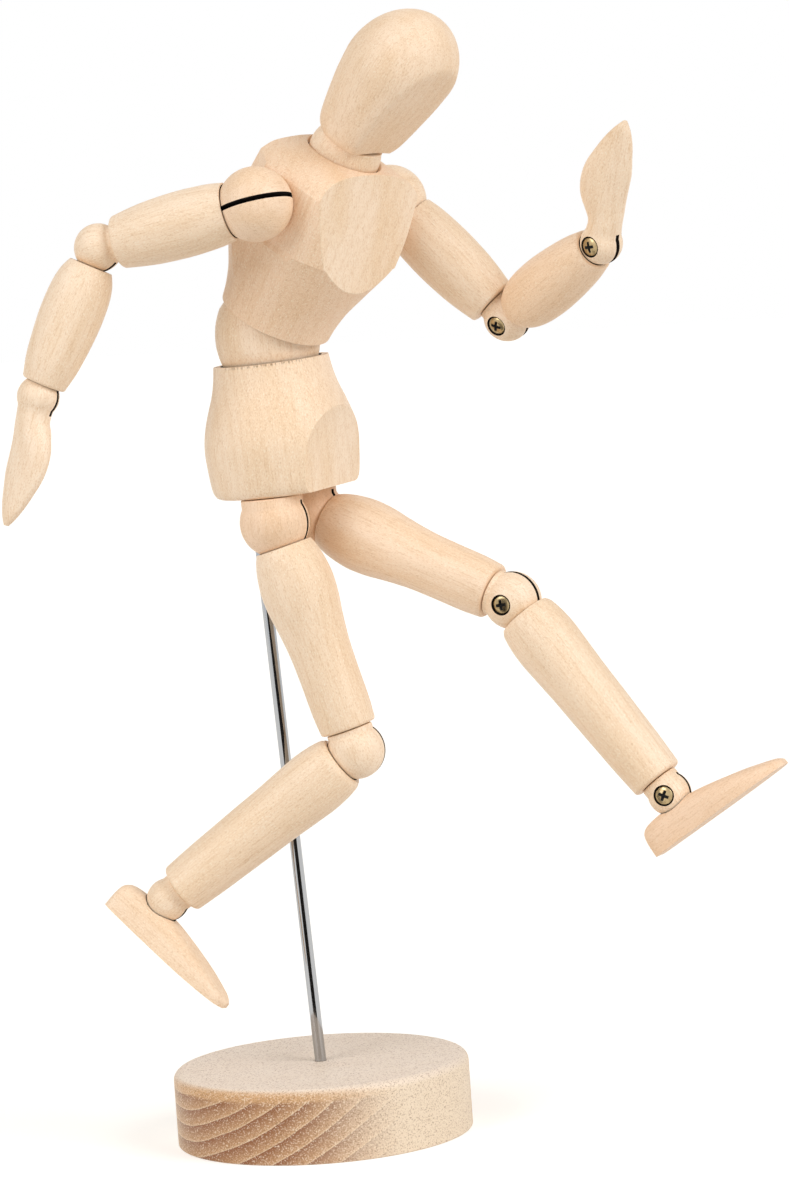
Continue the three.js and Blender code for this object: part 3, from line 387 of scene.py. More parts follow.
def pale_wood(stick, place, grain_turn=still, lines=PLAIN_LINES, sawn_top=0, open_grain=None):
    """Pale wood with its grain up the piece and a pattern of its own. A sawn top is rough below its
    edge. Off a flat of some facing and distance the wood is warmer, and below a height there it is
    deeper in tone: partly the turned end grain's own tone, partly painted shade."""
    material, tree, shader = new_material("pale_wood_" + stick)
    sticks.append(stick)
    tones = {part: Vector(linear(colour)) for part, colour in PALE_TONES.items()}
    # Redder sticks: partly their own tone, partly painted warm shade
    for part in ("light", "mid", "pale"):
        tones[part] = tones[part].lerp(tones["warm"], STICK_TONE_AND_SHADE.get(stick, 0))
    grain = place @ grain_turn
    turn = grain.to_3x3().transposed()
    apart = STICKS_APART * len(sticks)
    lying = add(tree, "Mapping", {
        "Vector": add(tree, "TexCoord", {}, "Object"), "Rotation": turn.to_euler(),
        "Location": apart - turn @ grain.translation * MM})
    fibre, dash, thread = (
        add(tree, "VectorMath", {0: lying, 1: (1, 1, 1 / stretch)}, operation="MULTIPLY")
        for stretch in (FIGURE_STRETCH, PORE_STRETCH, STREAK_STRETCH))
    streaks = add(tree, "TexNoise", {"Vector": thread, "Scale": 1 / (STREAK_WIDTH * MM), "Detail": 2})
    figure = add(tree, "TexNoise", {"Vector": fibre, "Scale": 1 / (FIGURE_WIDTH * MM), "Detail": 4})
    pores = add(tree, "TexNoise", {"Vector": dash, "Scale": 1 / (PORE_WIDTH * MM), "Detail": 1})
    year_lines = add(tree, "TexWave", {
        "Vector": fibre, "Scale": ONE_WAVE / (LINE_WIDTH * MM), "Distortion": 4, "Detail": 3,
        "Detail Scale": 0.6}, "Fac", wave_type="BANDS", bands_direction="X")
    figure_share = add(tree, "MapRange", {"Value": figure, "From Min": 0.38, "From Max": 0.66})
    line_share = add(tree, "MapRange", {"Value": year_lines, "From Min": 0.6, "To Max": lines})
    streak_share = add(tree, "MapRange", {
        "Value": streaks, "From Min": 0.5, "From Max": 0.72, "To Max": 0.4})
    dark_pores = add(tree, "MapRange", {
        "Value": pores, "From Min": 0.57, "From Max": 0.74, "To Max": 0.34})
    pale_flecks = add(tree, "MapRange", {
        "Value": pores, "From Min": 0.43, "From Max": 0.28, "To Max": 0.7})
    tone = add(tree, "MixRGB", {
        "Fac": figure_share, "Color1": tones["light"], "Color2": tones["mid"]})
    tone = add(tree, "MixRGB", {"Fac": line_share, "Color1": tone, "Color2": tones["line"]})
    tone = add(tree, "MixRGB", {"Fac": streak_share, "Color1": tone, "Color2": tones["line"]})
    if sawn_top:
        top = sawn_top * MM + apart.z
        near_top = add(tree, "MapRange", {
            "Value": add(tree, "SeparateXYZ", {"Vector": lying}, "Z"),
            "From Min": top - SAWN_DEPTH * MM, "From Max": top - SAWN_DEPTH * MM / 3})
        torn = add(tree, "MapRange", {
            "Value": streaks, "From Min": 0.5, "From Max": 0.58, "To Max": 0.7})
        here_and_there = add(tree, "MapRange", {"Value": figure, "From Min": 0.42, "From Max": 0.58})
        patchy = add(tree, "Math", {0: here_and_there, 1: torn}, operation="MULTIPLY")
        saw_marks = add(tree, "Math", {0: near_top, 1: patchy}, operation="MULTIPLY")
        tone = add(tree, "MixRGB", {"Fac": saw_marks, "Color1": tone, "Color2": tones["sawn"]})
    # Partly painted shade: the turned surfaces warmer, and the bowl below the ridge deeper in tone
    if open_grain:
        height, facing, away = open_grain
        within = add(tree, "VectorMath", {0: lying, 1: apart}, operation="SUBTRACT")
        below = add(tree, "MapRange", {
            "Value": add(tree, "SeparateXYZ", {"Vector": within}, "Z"),
            "From Min": (height + TONE_AND_SHADE_BLUR) * MM, "From Max": (height - TONE_AND_SHADE_BLUR) * MM,
            "To Max": BOWL_TONE_AND_SHADE})
        ahead = add(tree, "VectorMath", {
            0: within, 1: grain_turn.to_3x3().transposed() @ facing}, "Value", operation="DOT_PRODUCT")
        off_flat = add(tree, "MapRange", {
            "Value": ahead, "From Min": (away - TONE_AND_SHADE_BLUR / 3) * MM,
            "From Max": (away - TONE_AND_SHADE_BLUR) * MM})
        warm_tone_and_shade = add(tree, "Math", {0: off_flat, 1: TURNED_TONE_AND_SHADE}, operation="MULTIPLY")
        deep_tone_and_shade = add(tree, "Math", {0: below, 1: off_flat}, operation="MULTIPLY")
        tone = add(tree, "MixRGB", {"Fac": warm_tone_and_shade, "Color1": tone, "Color2": tones["warm"]})
        tone = add(tree, "MixRGB", {"Fac": deep_tone_and_shade, "Color1": tone, "Color2": tones["line"]})
    tone = add(tree, "MixRGB", {"Fac": dark_pores, "Color1": tone, "Color2": tones["pore"]})
    tone = add(tree, "MixRGB", {"Fac": pale_flecks, "Color1": tone, "Color2": tones["pale"]})
    wired(tree, shader, {
        "Base Color": tone,
        "Roughness": add(tree, "MapRange", {
            "Value": pores, "From Min": 0.3, "From Max": 0.7, "To Min": PALE_ROUGHNESS[0],
            "To Max": PALE_ROUGHNESS[1]}),
        "Normal": add(tree, "Bump", {
            "Height": pores, "Strength": 0.25, "Distance": PORE_DEPTH * MM}),
        "IOR": WOOD_IOR,
    })
    return material


# Painted shade inside the cups and saw cuts: the wood there is nearly black, for the shadow in those narrow
# gaps
GAP_SHADE_COLOUR = "#20160F"
CLOSE = 0.03
gap_shade_wood, tree, shader = new_material("painted_gap_shade")
wired(tree, shader, {"Base Color": linear(GAP_SHADE_COLOUR), "Roughness": 0.9})


def shade_painted(shape, *cuts):
    """Marks the faces of some cuts, so that they take the nearly black painted shade."""
    for face in shape.faces:
        if any(cut(face.calc_center_median()) for cut in cuts):
            face.material_index = 1
    return shape


def on_ball(radius, centre=(0, 0, 0)):
    """Tells whether a point lies in the hollow that a ball has cut."""
    return lambda at: abs((at - Vector(centre)).length - radius) < CLOSE


def wooden(piece, shape, place, body, node, stick=None, **grain):
    """Sets a finished wooden shape in its place, with nearly black painted shade in the cuts that are
    marked.
    """
    inside = gap_shade_wood if any(face.material_index for face in shape.faces) else None
    material = pale_wood(stick or body, place, **grain)
    fitted(piece, shape, place, body, node, material, inside)


def lifted(height):
    return Matrix.Translation((0, 0, height))


def grain_round(angle, axis="Z"):
    return Matrix.Rotation(radians(angle), 4, axis)


pelvis = hinge(stand, (0, -ROD_BEHIND_PELVIS_CENTRE, ROD_FREE_LENGTH), "Y", PELVIS_TILT)
pelvis_top = PELVIS_ROWS[-1][0]
side = outline(PELVIS_ROWS)
block = turned([(0, side[0][1]), *side, (0, side[-1][1])])
flat = plank([*outline(PELVIS_FLAT), (-FAR, pelvis_top), (-FAR, 0)], PELVIS_FLAT_TURN, FAR)
back = plank([(FAR, 0), (FAR, pelvis_top), (-PELVIS_BACK, pelvis_top), (-PELVIS_BACK, 0)], 0, FAR)
block = worked(block, [flat, back], "INTERSECT")
rod_socket = moved(rod(ROD_RADIUS + GAP, -PAST, ROD_IN_PELVIS + GAP),
                   hinge(still, (0, ROD_BEHIND_PELVIS_CENTRE, 0), "Y", -PELVIS_TILT))
hip_sockets = [moved(rod(SPIGOT_RADIUS + GAP, -PAST, SPIGOT_LENGTH + GAP), Matrix.Translation((x, 0, 0)))
               for x in (-HIP_SPREAD, HIP_SPREAD)]
block = worked(block, [
    moved(ball(waist_cap + SEAT_GAP), lifted(WAIST_CENTRE)), rod_socket, *hip_sockets,
    bored((0, 0, WAIST_CENTRE - WAIST_SPRING_REACH), (0, 0, WAIST_CENTRE), SPRING_BORE_RADIUS)])
shade_painted(block, on_ball(waist_cap + SEAT_GAP, (0, 0, WAIST_CENTRE)))
wooden("pelvis_block", block, pelvis, "stand", "pelvis", "pelvis",
       grain_turn=grain_round(PELVIS_GRAIN_TURN), lines=TRUNK_LINES, sawn_top=pelvis_top)


# Waist
# A turned barrel of the same wood between pelvis and chest, with a ball-shaped end in each of their
# hollows. The spring that pulls the trunk together runs through a wide hole in it.
WAIST_TURN = -17
WAIST_HOLE_RADIUS = 9
WAIST_REACH = 20
WAIST_GRAIN_TURN = -49
waist = hinge(pelvis, (0, 0, WAIST_CENTRE), "Z", WAIST_TURN)
cap_angle = degrees(atan2(waist_edge, WAIST_BAND))
levels = [WAIST_BAND * (i / 8 - 1) for i in range(17)]
bulge = [(waist_bulge_centre + sqrt(WAIST_BULGE_RADIUS ** 2 - z ** 2), z) for z in levels]
barrel = turned([*arc(0, waist_cap, 0, cap_angle, 10)[:-1], *bulge,
                 *arc(0, waist_cap, 180 - cap_angle, 180, 10)[1:]])
barrel = worked(barrel, [rod(WAIST_HOLE_RADIUS, -WAIST_REACH, WAIST_REACH)])
wooden("waist_barrel", barrel, waist, "waist", "waist", grain_turn=grain_round(WAIST_GRAIN_TURN))


# Chest
# A turned bowl, band and dome, planed to one flat front that leans back, two sides for the shoulder
# balls and a plain back. The band's edges stay sharp, and the front's foot dips into the bowl.
WAIST_LEAN = 5
CHEST_BEND = 34.4
SHOULDER_SPREAD = 27.4
SHOULDER_HEIGHT = 40.8
SHOULDER_SEAT = 7
CHEST_HALF_WIDTH = SHOULDER_SPREAD - SHOULDER_SEAT - SEAT_GAP
BACK_CORNER_ANGLE = 125
CHEST_GRAIN_TURN = -54
# Height and reach of the turned block, its sides and its back corners and back, each in three runs:
# the bowl, the band and the dome
CHEST_TURNED = [[(6.3, 15.3), (10, 15.8), (15, 17), (20, 18.9), (25, 20.9), (31.3, 23.5)],
                [(31.6, 23.9), (40, 24.1), (49.8, 23.7)],
                [(49.8, 23.7), (51.6, 22), (53.6, 18.6), (54.8, 14.6), (55.5, 10.5)]]
CHEST_SIDES = [[(6.3, 15.3), (14, 16.2), (20, 17), (25, 17.9), (29.5, 19.6)],
               [(29.9, CHEST_HALF_WIDTH), (48.4, CHEST_HALF_WIDTH)],
               [(48.4, CHEST_HALF_WIDTH), (51.2, 18.4), (53.6, 14.9), (55.5, 10.5)]]
CHEST_BACK_CORNERS = [[(6.3, 15.3), (15, 17), (22, 19.4), (30.5, 21.8)],
                      [(30.5, 21.8), (40, 21.6), (49, 20.6)],
                      [(49, 20.6), (52, 18.2), (54.2, 14), (55.5, 10.5)]]
CHEST_BACK = [[(6.3, 15.2), (15, 15.7), (30.5, 15.8)],
              [(30.5, 15.8), (49, 14.8)],
              [(49, 14.8), (52.5, 13.2), (55.5, 10.5)]]
CHEST_FRONT = [(6.3, 27.35), (55.5, 11.25)]
RIDGE_HEIGHT = 31.4
NECK_PIVOT = 55.5
NECK_SEAT_RADIUS = 9.5
NECK_SPRING_DOWN = 11.8
SEAT_CHAMFER = 0.7
# How much wider than a spring's own bore a hole is, so that the spring can bend in it
CHEST_BORE_ROOM = 1
NECK_SEAT_BORE_ROOM = 3.7
chest_lean = hinge(waist, (0, 0, 0), "Y", WAIST_LEAN)
chest = hinge(chest_lean, (0, 0, 0), "X", CHEST_BEND)


def runs(parts):
    """The smooth runs of a side, one above the other, with a corner between them."""
    points = outline(parts[0])
    for part in parts[1:]:
        points += [point for point in outline(part) if point != points[-1]]
    return points


def behind(side):
    return [(-reach, height) for reach, height in reversed(side)]


rim, top = CHEST_FRONT[0][0], CHEST_FRONT[1][0]
far_side = [(-FAR, top), (-FAR, rim)]
front = [(reach, height) for height, reach in CHEST_FRONT]
planes = [plank(front + behind(runs(CHEST_BACK)), 0, FAR),
          plank(runs(CHEST_SIDES) + behind(runs(CHEST_SIDES)), 90, FAR)]
for hand in (-1, 1):
    planes.append(plank(runs(CHEST_BACK_CORNERS) + far_side, hand * BACK_CORNER_ANGLE, FAR))
block = worked(turned([(0, rim), *runs(CHEST_TURNED), (0, top)]), planes, "INTERSECT")
countersink = turned([(0, -2 * SEAT_CHAMFER), (NECK_SEAT_RADIUS, -2 * SEAT_CHAMFER),
                      (NECK_SEAT_RADIUS + SEAT_GAP + SEAT_CHAMFER, GAP), (0, GAP)])
block = worked(block, [
    ball(waist_cap + SEAT_GAP),
    moved(ball(NECK_SEAT_RADIUS + SEAT_GAP), lifted(NECK_PIVOT)),
    moved(countersink, lifted(NECK_PIVOT)),
    bored((0, 0, 0), (0, 0, WAIST_SPRING_REACH), SPRING_BORE_RADIUS + CHEST_BORE_ROOM),
    bored((0, 0, NECK_PIVOT - NECK_SPRING_DOWN), (0, 0, NECK_PIVOT),
          SPRING_BORE_RADIUS + NECK_SEAT_BORE_ROOM),
    bored((-FAR, 0, SHOULDER_HEIGHT), (FAR, 0, SHOULDER_HEIGHT), SPRING_BORE_RADIUS),
])
shade_painted(block, on_ball(waist_cap + SEAT_GAP), on_ball(NECK_SEAT_RADIUS + SEAT_GAP, (0, 0, NECK_PIVOT)))
# The chest's turned surfaces are painted warmer and its bowl deeper below the ridge: partly the end grain's
# own tone, partly painted shade
flat_facing = Vector((0, rim - top, front[0][0] - front[1][0])).normalized()
bowl = (RIDGE_HEIGHT, flat_facing, flat_facing.dot(Vector((0, -front[0][0], rim))))
wooden("chest_block", block, chest, "chest", "chest",
       grain_turn=grain_round(CHEST_GRAIN_TURN), lines=TRUNK_LINES, open_grain=bowl)


# Neck
# A short turned plug of the same wood with a ball end, which rocks in a hollow in the top of the
# chest. The neck's spring runs through a wide hole in it.
NECK_LEAN = -1.6
NECK_NOD = 5.7
NECK_TOP_RADIUS = 8.8
NECK_TOP = 5
NECK_BALL_END = 114
NECK_EDGE = 0.4
NECK_BORE_ROOM = 4
neck_lean = hinge(chest, (0, 0, NECK_PIVOT), "Y", NECK_LEAN)
neck = hinge(neck_lean, (0, 0, 0), "X", NECK_NOD)
plug = turned([*arc(0, NECK_SEAT_RADIUS + GAP, 0, NECK_BALL_END, 20),
               (NECK_TOP_RADIUS, NECK_TOP), (0, NECK_TOP)], soften=NECK_EDGE)
plug = worked(plug, [rod(SPRING_BORE_RADIUS + NECK_BORE_ROOM, -WAIST_REACH, WAIST_REACH)])
wooden("neck_plug", plug, neck, "neck", "neck")


# Head
# An egg of the same wood, turned slightly forward of its axis and sanded flat in front for a blank
# face. It turns on the neck, held down by the neck spring.
HEAD_TURN = 0
HEAD_LENGTH = 40.7
HEAD_RADIUS = 14.6
HEAD_FULL_AT = 23
HEAD_JAW = [(10, 0), (11.8, 3.4), (13.9, 15)]
HEAD_FORWARD = 1.2
HEAD_FORWARD_SLOPE = 0.096
HEAD_FACETS = 160
HEAD_BORE_ROOM = 5
FACE_FLAT_DEPTH = 3.3
FACE_SLOPE = 15.5
FACE_EDGE = 0.7
NECK_SPRING_UP = 12.6
head = hinge(neck, (0, 0, NECK_TOP + SEAT_GAP), "Z", HEAD_TURN)
crown = [(HEAD_RADIUS * cos(a), HEAD_FULL_AT + (HEAD_LENGTH - HEAD_FULL_AT) * sin(a))
         for a in (pi / 2 * i / 40 for i in range(41))]
jaw = curved([*HEAD_JAW, (HEAD_RADIUS, HEAD_FULL_AT)], 16)
egg = turned([(0, 0), *jaw[:-1], *crown[:-1], (0, HEAD_LENGTH)], segments=HEAD_FACETS)
face_out = Vector((0, -cos(radians(FACE_SLOPE)), -sin(radians(FACE_SLOPE))))
face_reach = HEAD_FORWARD + HEAD_RADIUS + HEAD_FORWARD_SLOPE * HEAD_FULL_AT - FACE_FLAT_DEPTH
face_point = Vector((0, -face_reach, HEAD_FULL_AT))
for point in egg.verts:
    point.co.y -= HEAD_FORWARD + HEAD_FORWARD_SLOPE * point.co.z
    proud = (point.co - face_point).dot(face_out)
    if proud > -FACE_EDGE:
        sanded = -FACE_EDGE * 0.5 ** (1 + proud / FACE_EDGE)
        point.co += face_out * (sanded - proud)
egg = worked(egg, [rod(SPRING_BORE_RADIUS + HEAD_BORE_ROOM, -PAST, NECK_SPRING_UP + PAST)])
wooden("head_egg", egg, head, "head", "head", lines=TRUNK_LINES)


# Springs
# Coils of drawn steel wire inside the trunk: one through pelvis, waist and chest, one through
# chest, neck and head, and one across the chest between the shoulder balls. The trunk's long spring
# bends at the waist, so its two ends stay in the bores of the chest and the pelvis.
SPRING_COLOURS = ("#9A9DA1", "#83868A")
SPRING_ROUGHNESS = (0.25, 0.4)
SPRING_GRIT = 0.3
SPRING_STRETCH = 4
SPRING_RADIUS = 1.9
SPRING_WIRE_RADIUS = 0.45
SPRING_WIRE_FACETS = 10
SPRING_PITCH = 5.5
SPRING_STEPS = 16
SPRING_END_TURNS = 4
# Drawn steel wire and strip: plain grey, less bright than the rod
drawn_steel = metal("drawn_steel", SPRING_COLOURS, SPRING_ROUGHNESS, SPRING_GRIT, SPRING_STRETCH, chest)


def refinished(node, material):
    """Gives a CAD node that stays its own finish."""
    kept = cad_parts[node]
    kept.data.materials.clear()
    kept.data.materials.append(material)


def coil(start, turns):
    """A length of coiled wire about Z, with closed ends, that starts so many turns from the middle."""
    shape = bmesh.new()
    wire_end = hinge(still, (SPRING_RADIUS, 0, start * SPRING_PITCH), "X", 90)
    bmesh.ops.create_circle(shape, cap_ends=True, radius=SPRING_WIRE_RADIUS,
                            segments=SPRING_WIRE_FACETS, matrix=wire_end)
    bmesh.ops.spin(shape, geom=shape.verts[:] + shape.edges[:] + shape.faces[:], cent=(0, 0, 0),
                   axis=(0, 0, 1), dvec=(0, 0, SPRING_PITCH / SPRING_STEPS), angle=tau * turns,
                   steps=SPRING_STEPS * turns)
    bmesh.ops.recalc_face_normals(shape, faces=shape.faces)
    return shape


for spring in ("neck_spring", "shoulder_spring"):
    refinished(spring, drawn_steel)
for end, place, body, start, turns in (
        ("middle", chest_lean, "waist_spring", -0.5, 1),
        ("upper", chest, "chest", 0.5, SPRING_END_TURNS),
        ("lower", pelvis @ lifted(WAIST_CENTRE), "stand", -0.5 - SPRING_END_TURNS, SPRING_END_TURNS)):
    fitted("waist_spring_" + end, coil(start, turns), place, body, "waist_spring", drawn_steel)


# Shoulder balls and pins
# Turned balls with a flat that bears on the chest, sawn across for the arm's steel tongue. A steel
# pin crosses the slot from front to back, and the chest spring pulls both balls in.
SHOULDER_RADIUS = 9.8
SLOT_WIDTH = 1.3
KNUCKLE_WEB = 1.5
KNUCKLE_EDGE = 0.3
LIMB_FACETS = 72
SHOULDER_POSES = {"right": 44.8, "left": -72.3}
SIDES = {"right": -1, "left": 1}
SPRING_HOLE_DEPTH = 2.5


def knuckle(radius, seat, straight_from=0, spigot=True):
    """A turned ball with a flat seat upwards, and a spigot on the seat that turns in the limb above."""
    dome = arc(0, radius, 0, straight_from or degrees(acos(-seat / radius)), 24)
    if straight_from:
        dome.append((radius * sin(radians(straight_from)), seat))
    stem = [(SPIGOT_RADIUS, seat), (SPIGOT_RADIUS, seat + SPIGOT_LENGTH)] if spigot else []
    top = seat + SPIGOT_LENGTH if spigot else seat
    return turned([*dome, *stem, (0, top)], soften=KNUCKLE_EDGE, segments=LIMB_FACETS)


def slab(width, depth, bottom, top):
    """A block with its middle on the Z axis, as a blade or chisel that cuts a slot."""
    shape = bmesh.new()
    bmesh.ops.create_cube(shape, size=1)
    bmesh.ops.scale(shape, vec=(width, depth, top - bottom), verts=shape.verts)
    return moved(shape, lifted((bottom + top) / 2))


def kerf(radius, floor):
    """The saw cut across a knuckle, open downwards."""
    return slab(SLOT_WIDTH, 2 * (radius + PAST), -radius - PAST, floor)


def in_kerf(floor, place=still):
    """Tells whether a point lies on the walls or the floor of a saw cut."""
    back = place.inverted()

    def inside(at):
        spot = back @ at
        return abs(spot.x) < SLOT_WIDTH / 2 + CLOSE / 3 and spot.z < floor + CLOSE
    return inside


def inwards(side):
    """Turns what points up so that it points to the middle of the figure."""
    return Matrix.Rotation(radians(-90 * SIDES[side]), 4, "Y")


quarter = Matrix.Rotation(radians(90), 4, "Z")
shoulders = {side: hinge(chest, (sign * SHOULDER_SPREAD, 0, SHOULDER_HEIGHT), "X", SHOULDER_POSES[side])
             for side, sign in SIDES.items()}
for side, place in shoulders.items():
    across = inwards(side) @ quarter
    shape = moved(knuckle(SHOULDER_RADIUS, SHOULDER_SEAT, spigot=False), inwards(side))
    shape = worked(shape, [
        moved(kerf(SHOULDER_RADIUS, SHOULDER_SEAT - KNUCKLE_WEB), across),
        moved(rod(SPRING_BORE_RADIUS, SHOULDER_SEAT - SPRING_HOLE_DEPTH, FAR), inwards(side))])
    shade_painted(shape, in_kerf(SHOULDER_SEAT - KNUCKLE_WEB, across))
    wooden(side + "_shoulder_turning", shape, place, side + "_shoulder", side + "_shoulder_ball",
           grain_turn=inwards(side), lines=TRUNK_LINES)
    refinished(side + "_shoulder_pin", drawn_steel)


# Upper arms
# Turned spindles with a cup at the top for the shoulder ball and a squared end below. A flat steel
# tongue is let into the cup, and its eye turns on the pin in the shoulder's slot.
UPPER_ARM_LENGTH = 44.5
# Below the joint and radius of the arm, from its cup's rim to its end
UPPER_ARM_ROWS = [(7.1, 7.7), (12, 8.4), (20, 8.75), (28, 8.45), (33, 7.9), (38.8, 7.1)]
RAISE_POSES = {"right": 22.7, "left": -18.4}
RIM_ROUND = 0.3
END_ROUND = 0.9
TONGUE_WIDTH = 3.6
TONGUE_TAIL = 8


def limb(rows):
    """A turned limb through rows of depth and radius, its rim eased and its end rounded."""
    (rim, rim_radius), *middle, (end, end_radius) = rows
    side = curved([(end_radius, END_ROUND - end), *((radius, -below) for below, radius in reversed(middle)),
                   (rim_radius, -rim - RIM_ROUND)], 6)
    foot = [(end_radius - END_ROUND + r, z) for r, z in arc(END_ROUND - end, END_ROUND, 0, 90, 6)]
    head = [(rim_radius - RIM_ROUND + r, z) for r, z in arc(-rim - RIM_ROUND, RIM_ROUND, 90, 180, 4)]
    return turned([(0, -end), *foot[:-1], *side, *head[1:], (0, -rim)], segments=LIMB_FACETS)


def mortise(end):
    """The slot in a cup that holds the tail of a tongue."""
    return slab(SLOT_WIDTH, TONGUE_WIDTH + 2 * GAP, -end - GAP, 0)


def jointed(parents, below, axis, poses):
    """The places of a pair of pieces that turn about an axis, so far below their parents' joints."""
    return {side: hinge(parents[side], (0, 0, -below), axis, poses[side]) for side in SIDES}


def cupped_limbs(name, ball_radius, rows, places, tongue, tongue_turn=still):
    """A pair of turned limbs with a cup at the top, a tongue let into it and a socket at the end."""
    end = -rows[-1][0]
    for side, place in places.items():
        body = side + "_" + name
        shape = worked(limb(rows), [
            ball(ball_radius + SEAT_GAP),
            moved(mortise(ball_radius + TONGUE_TAIL), tongue_turn),
            rod(SPIGOT_RADIUS + GAP, end - PAST, end + SPIGOT_LENGTH + 2 * GAP)])
        shade_painted(shape, on_ball(ball_radius + SEAT_GAP))
        wooden(body + "_turning", shape, place, body, body)
        refinished(side + "_" + tongue, drawn_steel)


upper_arms = jointed(shoulders, 0, "Y", RAISE_POSES)
cupped_limbs("upper_arm", SHOULDER_RADIUS, UPPER_ARM_ROWS, upper_arms, "shoulder_tongue", quarter)


# Elbow knuckles and screws
# Small turned knuckles whose spigots turn in the upper arms, sawn for the forearm's tongue. A
# cross-recessed screw, let into the inner side, pins the tongue.
ELBOW_RADIUS = 6.4
ELBOW_SEAT = 5.4
ELBOW_STRAIGHT_FROM = 133
ELBOW_TURN_POSES = {"right": -2.9, "left": -13.2}
SHANK_RADIUS = 1.2
SCREW_HEAD_RADIUS = 2.5
SCREW_HEAD_HEIGHT = 1.3
SCREW_HEAD_RIM = 0.5
SCREW_FACETS = 48
SCREW_SINK = 0.35
SCREW_SHORT = 1.8
SCREW_GAP = 0.3
RECESS_WIDTH = 0.9
RECESS_SPAN = 3.5
RECESS_DEPTH = 0.8
RECESS_TAPER = 0.35
RECESS_PROUD = 0.05
RECESS_TURN = 30
BRASS_COLOURS = ("#D8C296", "#8A7350")
BRASS_ROUGHNESS = (0.22, 0.42)
BRASS_GRIT = 0.9
CROSS_SHADE_COLOUR = "#0E0B08"


def screw(radius):
    """A round-headed screw along Z, its head sunk just under a knuckle of that radius."""
    face = radius - SCREW_SINK
    neck = face - SCREW_HEAD_HEIGHT
    tip = SCREW_SHORT - radius
    rim = neck + SCREW_HEAD_RIM
    rise = SCREW_HEAD_HEIGHT - SCREW_HEAD_RIM
    crown = [(SCREW_HEAD_RADIUS * cos(a), rim + rise * sin(a)) for a in (pi / 2 * i / 8 for i in range(9))]
    head = turned([(0, tip), (SHANK_RADIUS, tip), (SHANK_RADIUS, neck), (SCREW_HEAD_RADIUS, neck),
                   *crown[:-1], (0, face)], segments=SCREW_FACETS)
    size = Vector((RECESS_SPAN / sqrt(2), RECESS_WIDTH / sqrt(2), RECESS_DEPTH))
    arms = []
    for turn in (0, 90):
        arm = bmesh.new()
        bmesh.ops.create_cone(arm, cap_ends=True, segments=4, radius1=RECESS_TAPER, radius2=1, depth=1)
        bmesh.ops.rotate(arm, cent=(0, 0, 0), matrix=Matrix.Rotation(radians(45), 3, "Z"), verts=arm.verts)
        bmesh.ops.scale(arm, vec=size, verts=arm.verts)
        moved(arm, lifted(face - RECESS_DEPTH / 2 + RECESS_PROUD))
        arms.append(moved(arm, Matrix.Rotation(radians(turn + RECESS_TURN), 4, "Z")))

    def in_recess(at):
        out = hypot(at.x, at.y)
        crown_here = rim + rise * sqrt(max(0, 1 - (out / SCREW_HEAD_RADIUS) ** 2))
        return out < RECESS_SPAN / 2 + CLOSE and neck + CLOSE < at.z < crown_here - CLOSE
    # The faces inside the cross take the painted shade
    return shade_painted(worked(head, arms), in_recess)


def screw_hole(radius):
    face = radius - SCREW_SINK - SCREW_HEAD_HEIGHT - GAP
    tip = SCREW_SHORT - radius - GAP
    wide = SCREW_HEAD_RADIUS + SCREW_GAP
    return turned([(0, tip), (SHANK_RADIUS + GAP, tip), (SHANK_RADIUS + GAP, face), (wide, face),
                   (wide, radius + PAST), (0, radius + PAST)], segments=SCREW_FACETS)


def in_counterbore(radius, place):
    """Tells whether a point lies on the wall or the floor of the hole round a screw's head."""
    back = place.inverted()

    def inside(at):
        spot = back @ at
        return hypot(spot.x, spot.y) < SCREW_HEAD_RADIUS + SCREW_GAP + CLOSE / 3 and spot.z > radius / 2
    return inside


# Painted shade: the inside of a screw's cross is nearly black, for the shadow in that recess
cross_shade_brass, tree, shader = new_material("painted_cross_shade")
wired(tree, shader, {"Base Color": linear(CROSS_SHADE_COLOUR), "Roughness": 0.8})


def screwed(side, joint, radius, place, body):
    """Sets a screw of antique brass, yellow where it is rubbed and brown with tarnish, in a knuckle."""
    name = side + "_" + joint
    brass = metal("antique_brass_" + name, BRASS_COLOURS, BRASS_ROUGHNESS, BRASS_GRIT, 1, place)
    fitted(name + "_brass_screw", moved(screw(radius), inwards(side)), place, body, name + "_screw",
           brass, cross_shade_brass)


def slotted_knuckles(joint, radius, seat, straight_from, places):
    """A pair of slotted knuckles with their screws."""
    for side, place in places.items():
        body = side + "_" + joint
        shape = worked(knuckle(radius, seat, straight_from), [
            kerf(radius, seat - KNUCKLE_WEB), moved(screw_hole(radius), inwards(side))])
        shade_painted(shape, in_kerf(seat - KNUCKLE_WEB), in_counterbore(radius, inwards(side)))
        wooden(body + "_turning", shape, place, body, body + "_knuckle")
        screwed(side, joint, radius, place, body)


elbow_knuckles = jointed(upper_arms, UPPER_ARM_LENGTH, "Z", ELBOW_TURN_POSES)
slotted_knuckles("elbow", ELBOW_RADIUS, ELBOW_SEAT, ELBOW_STRAIGHT_FROM, elbow_knuckles)


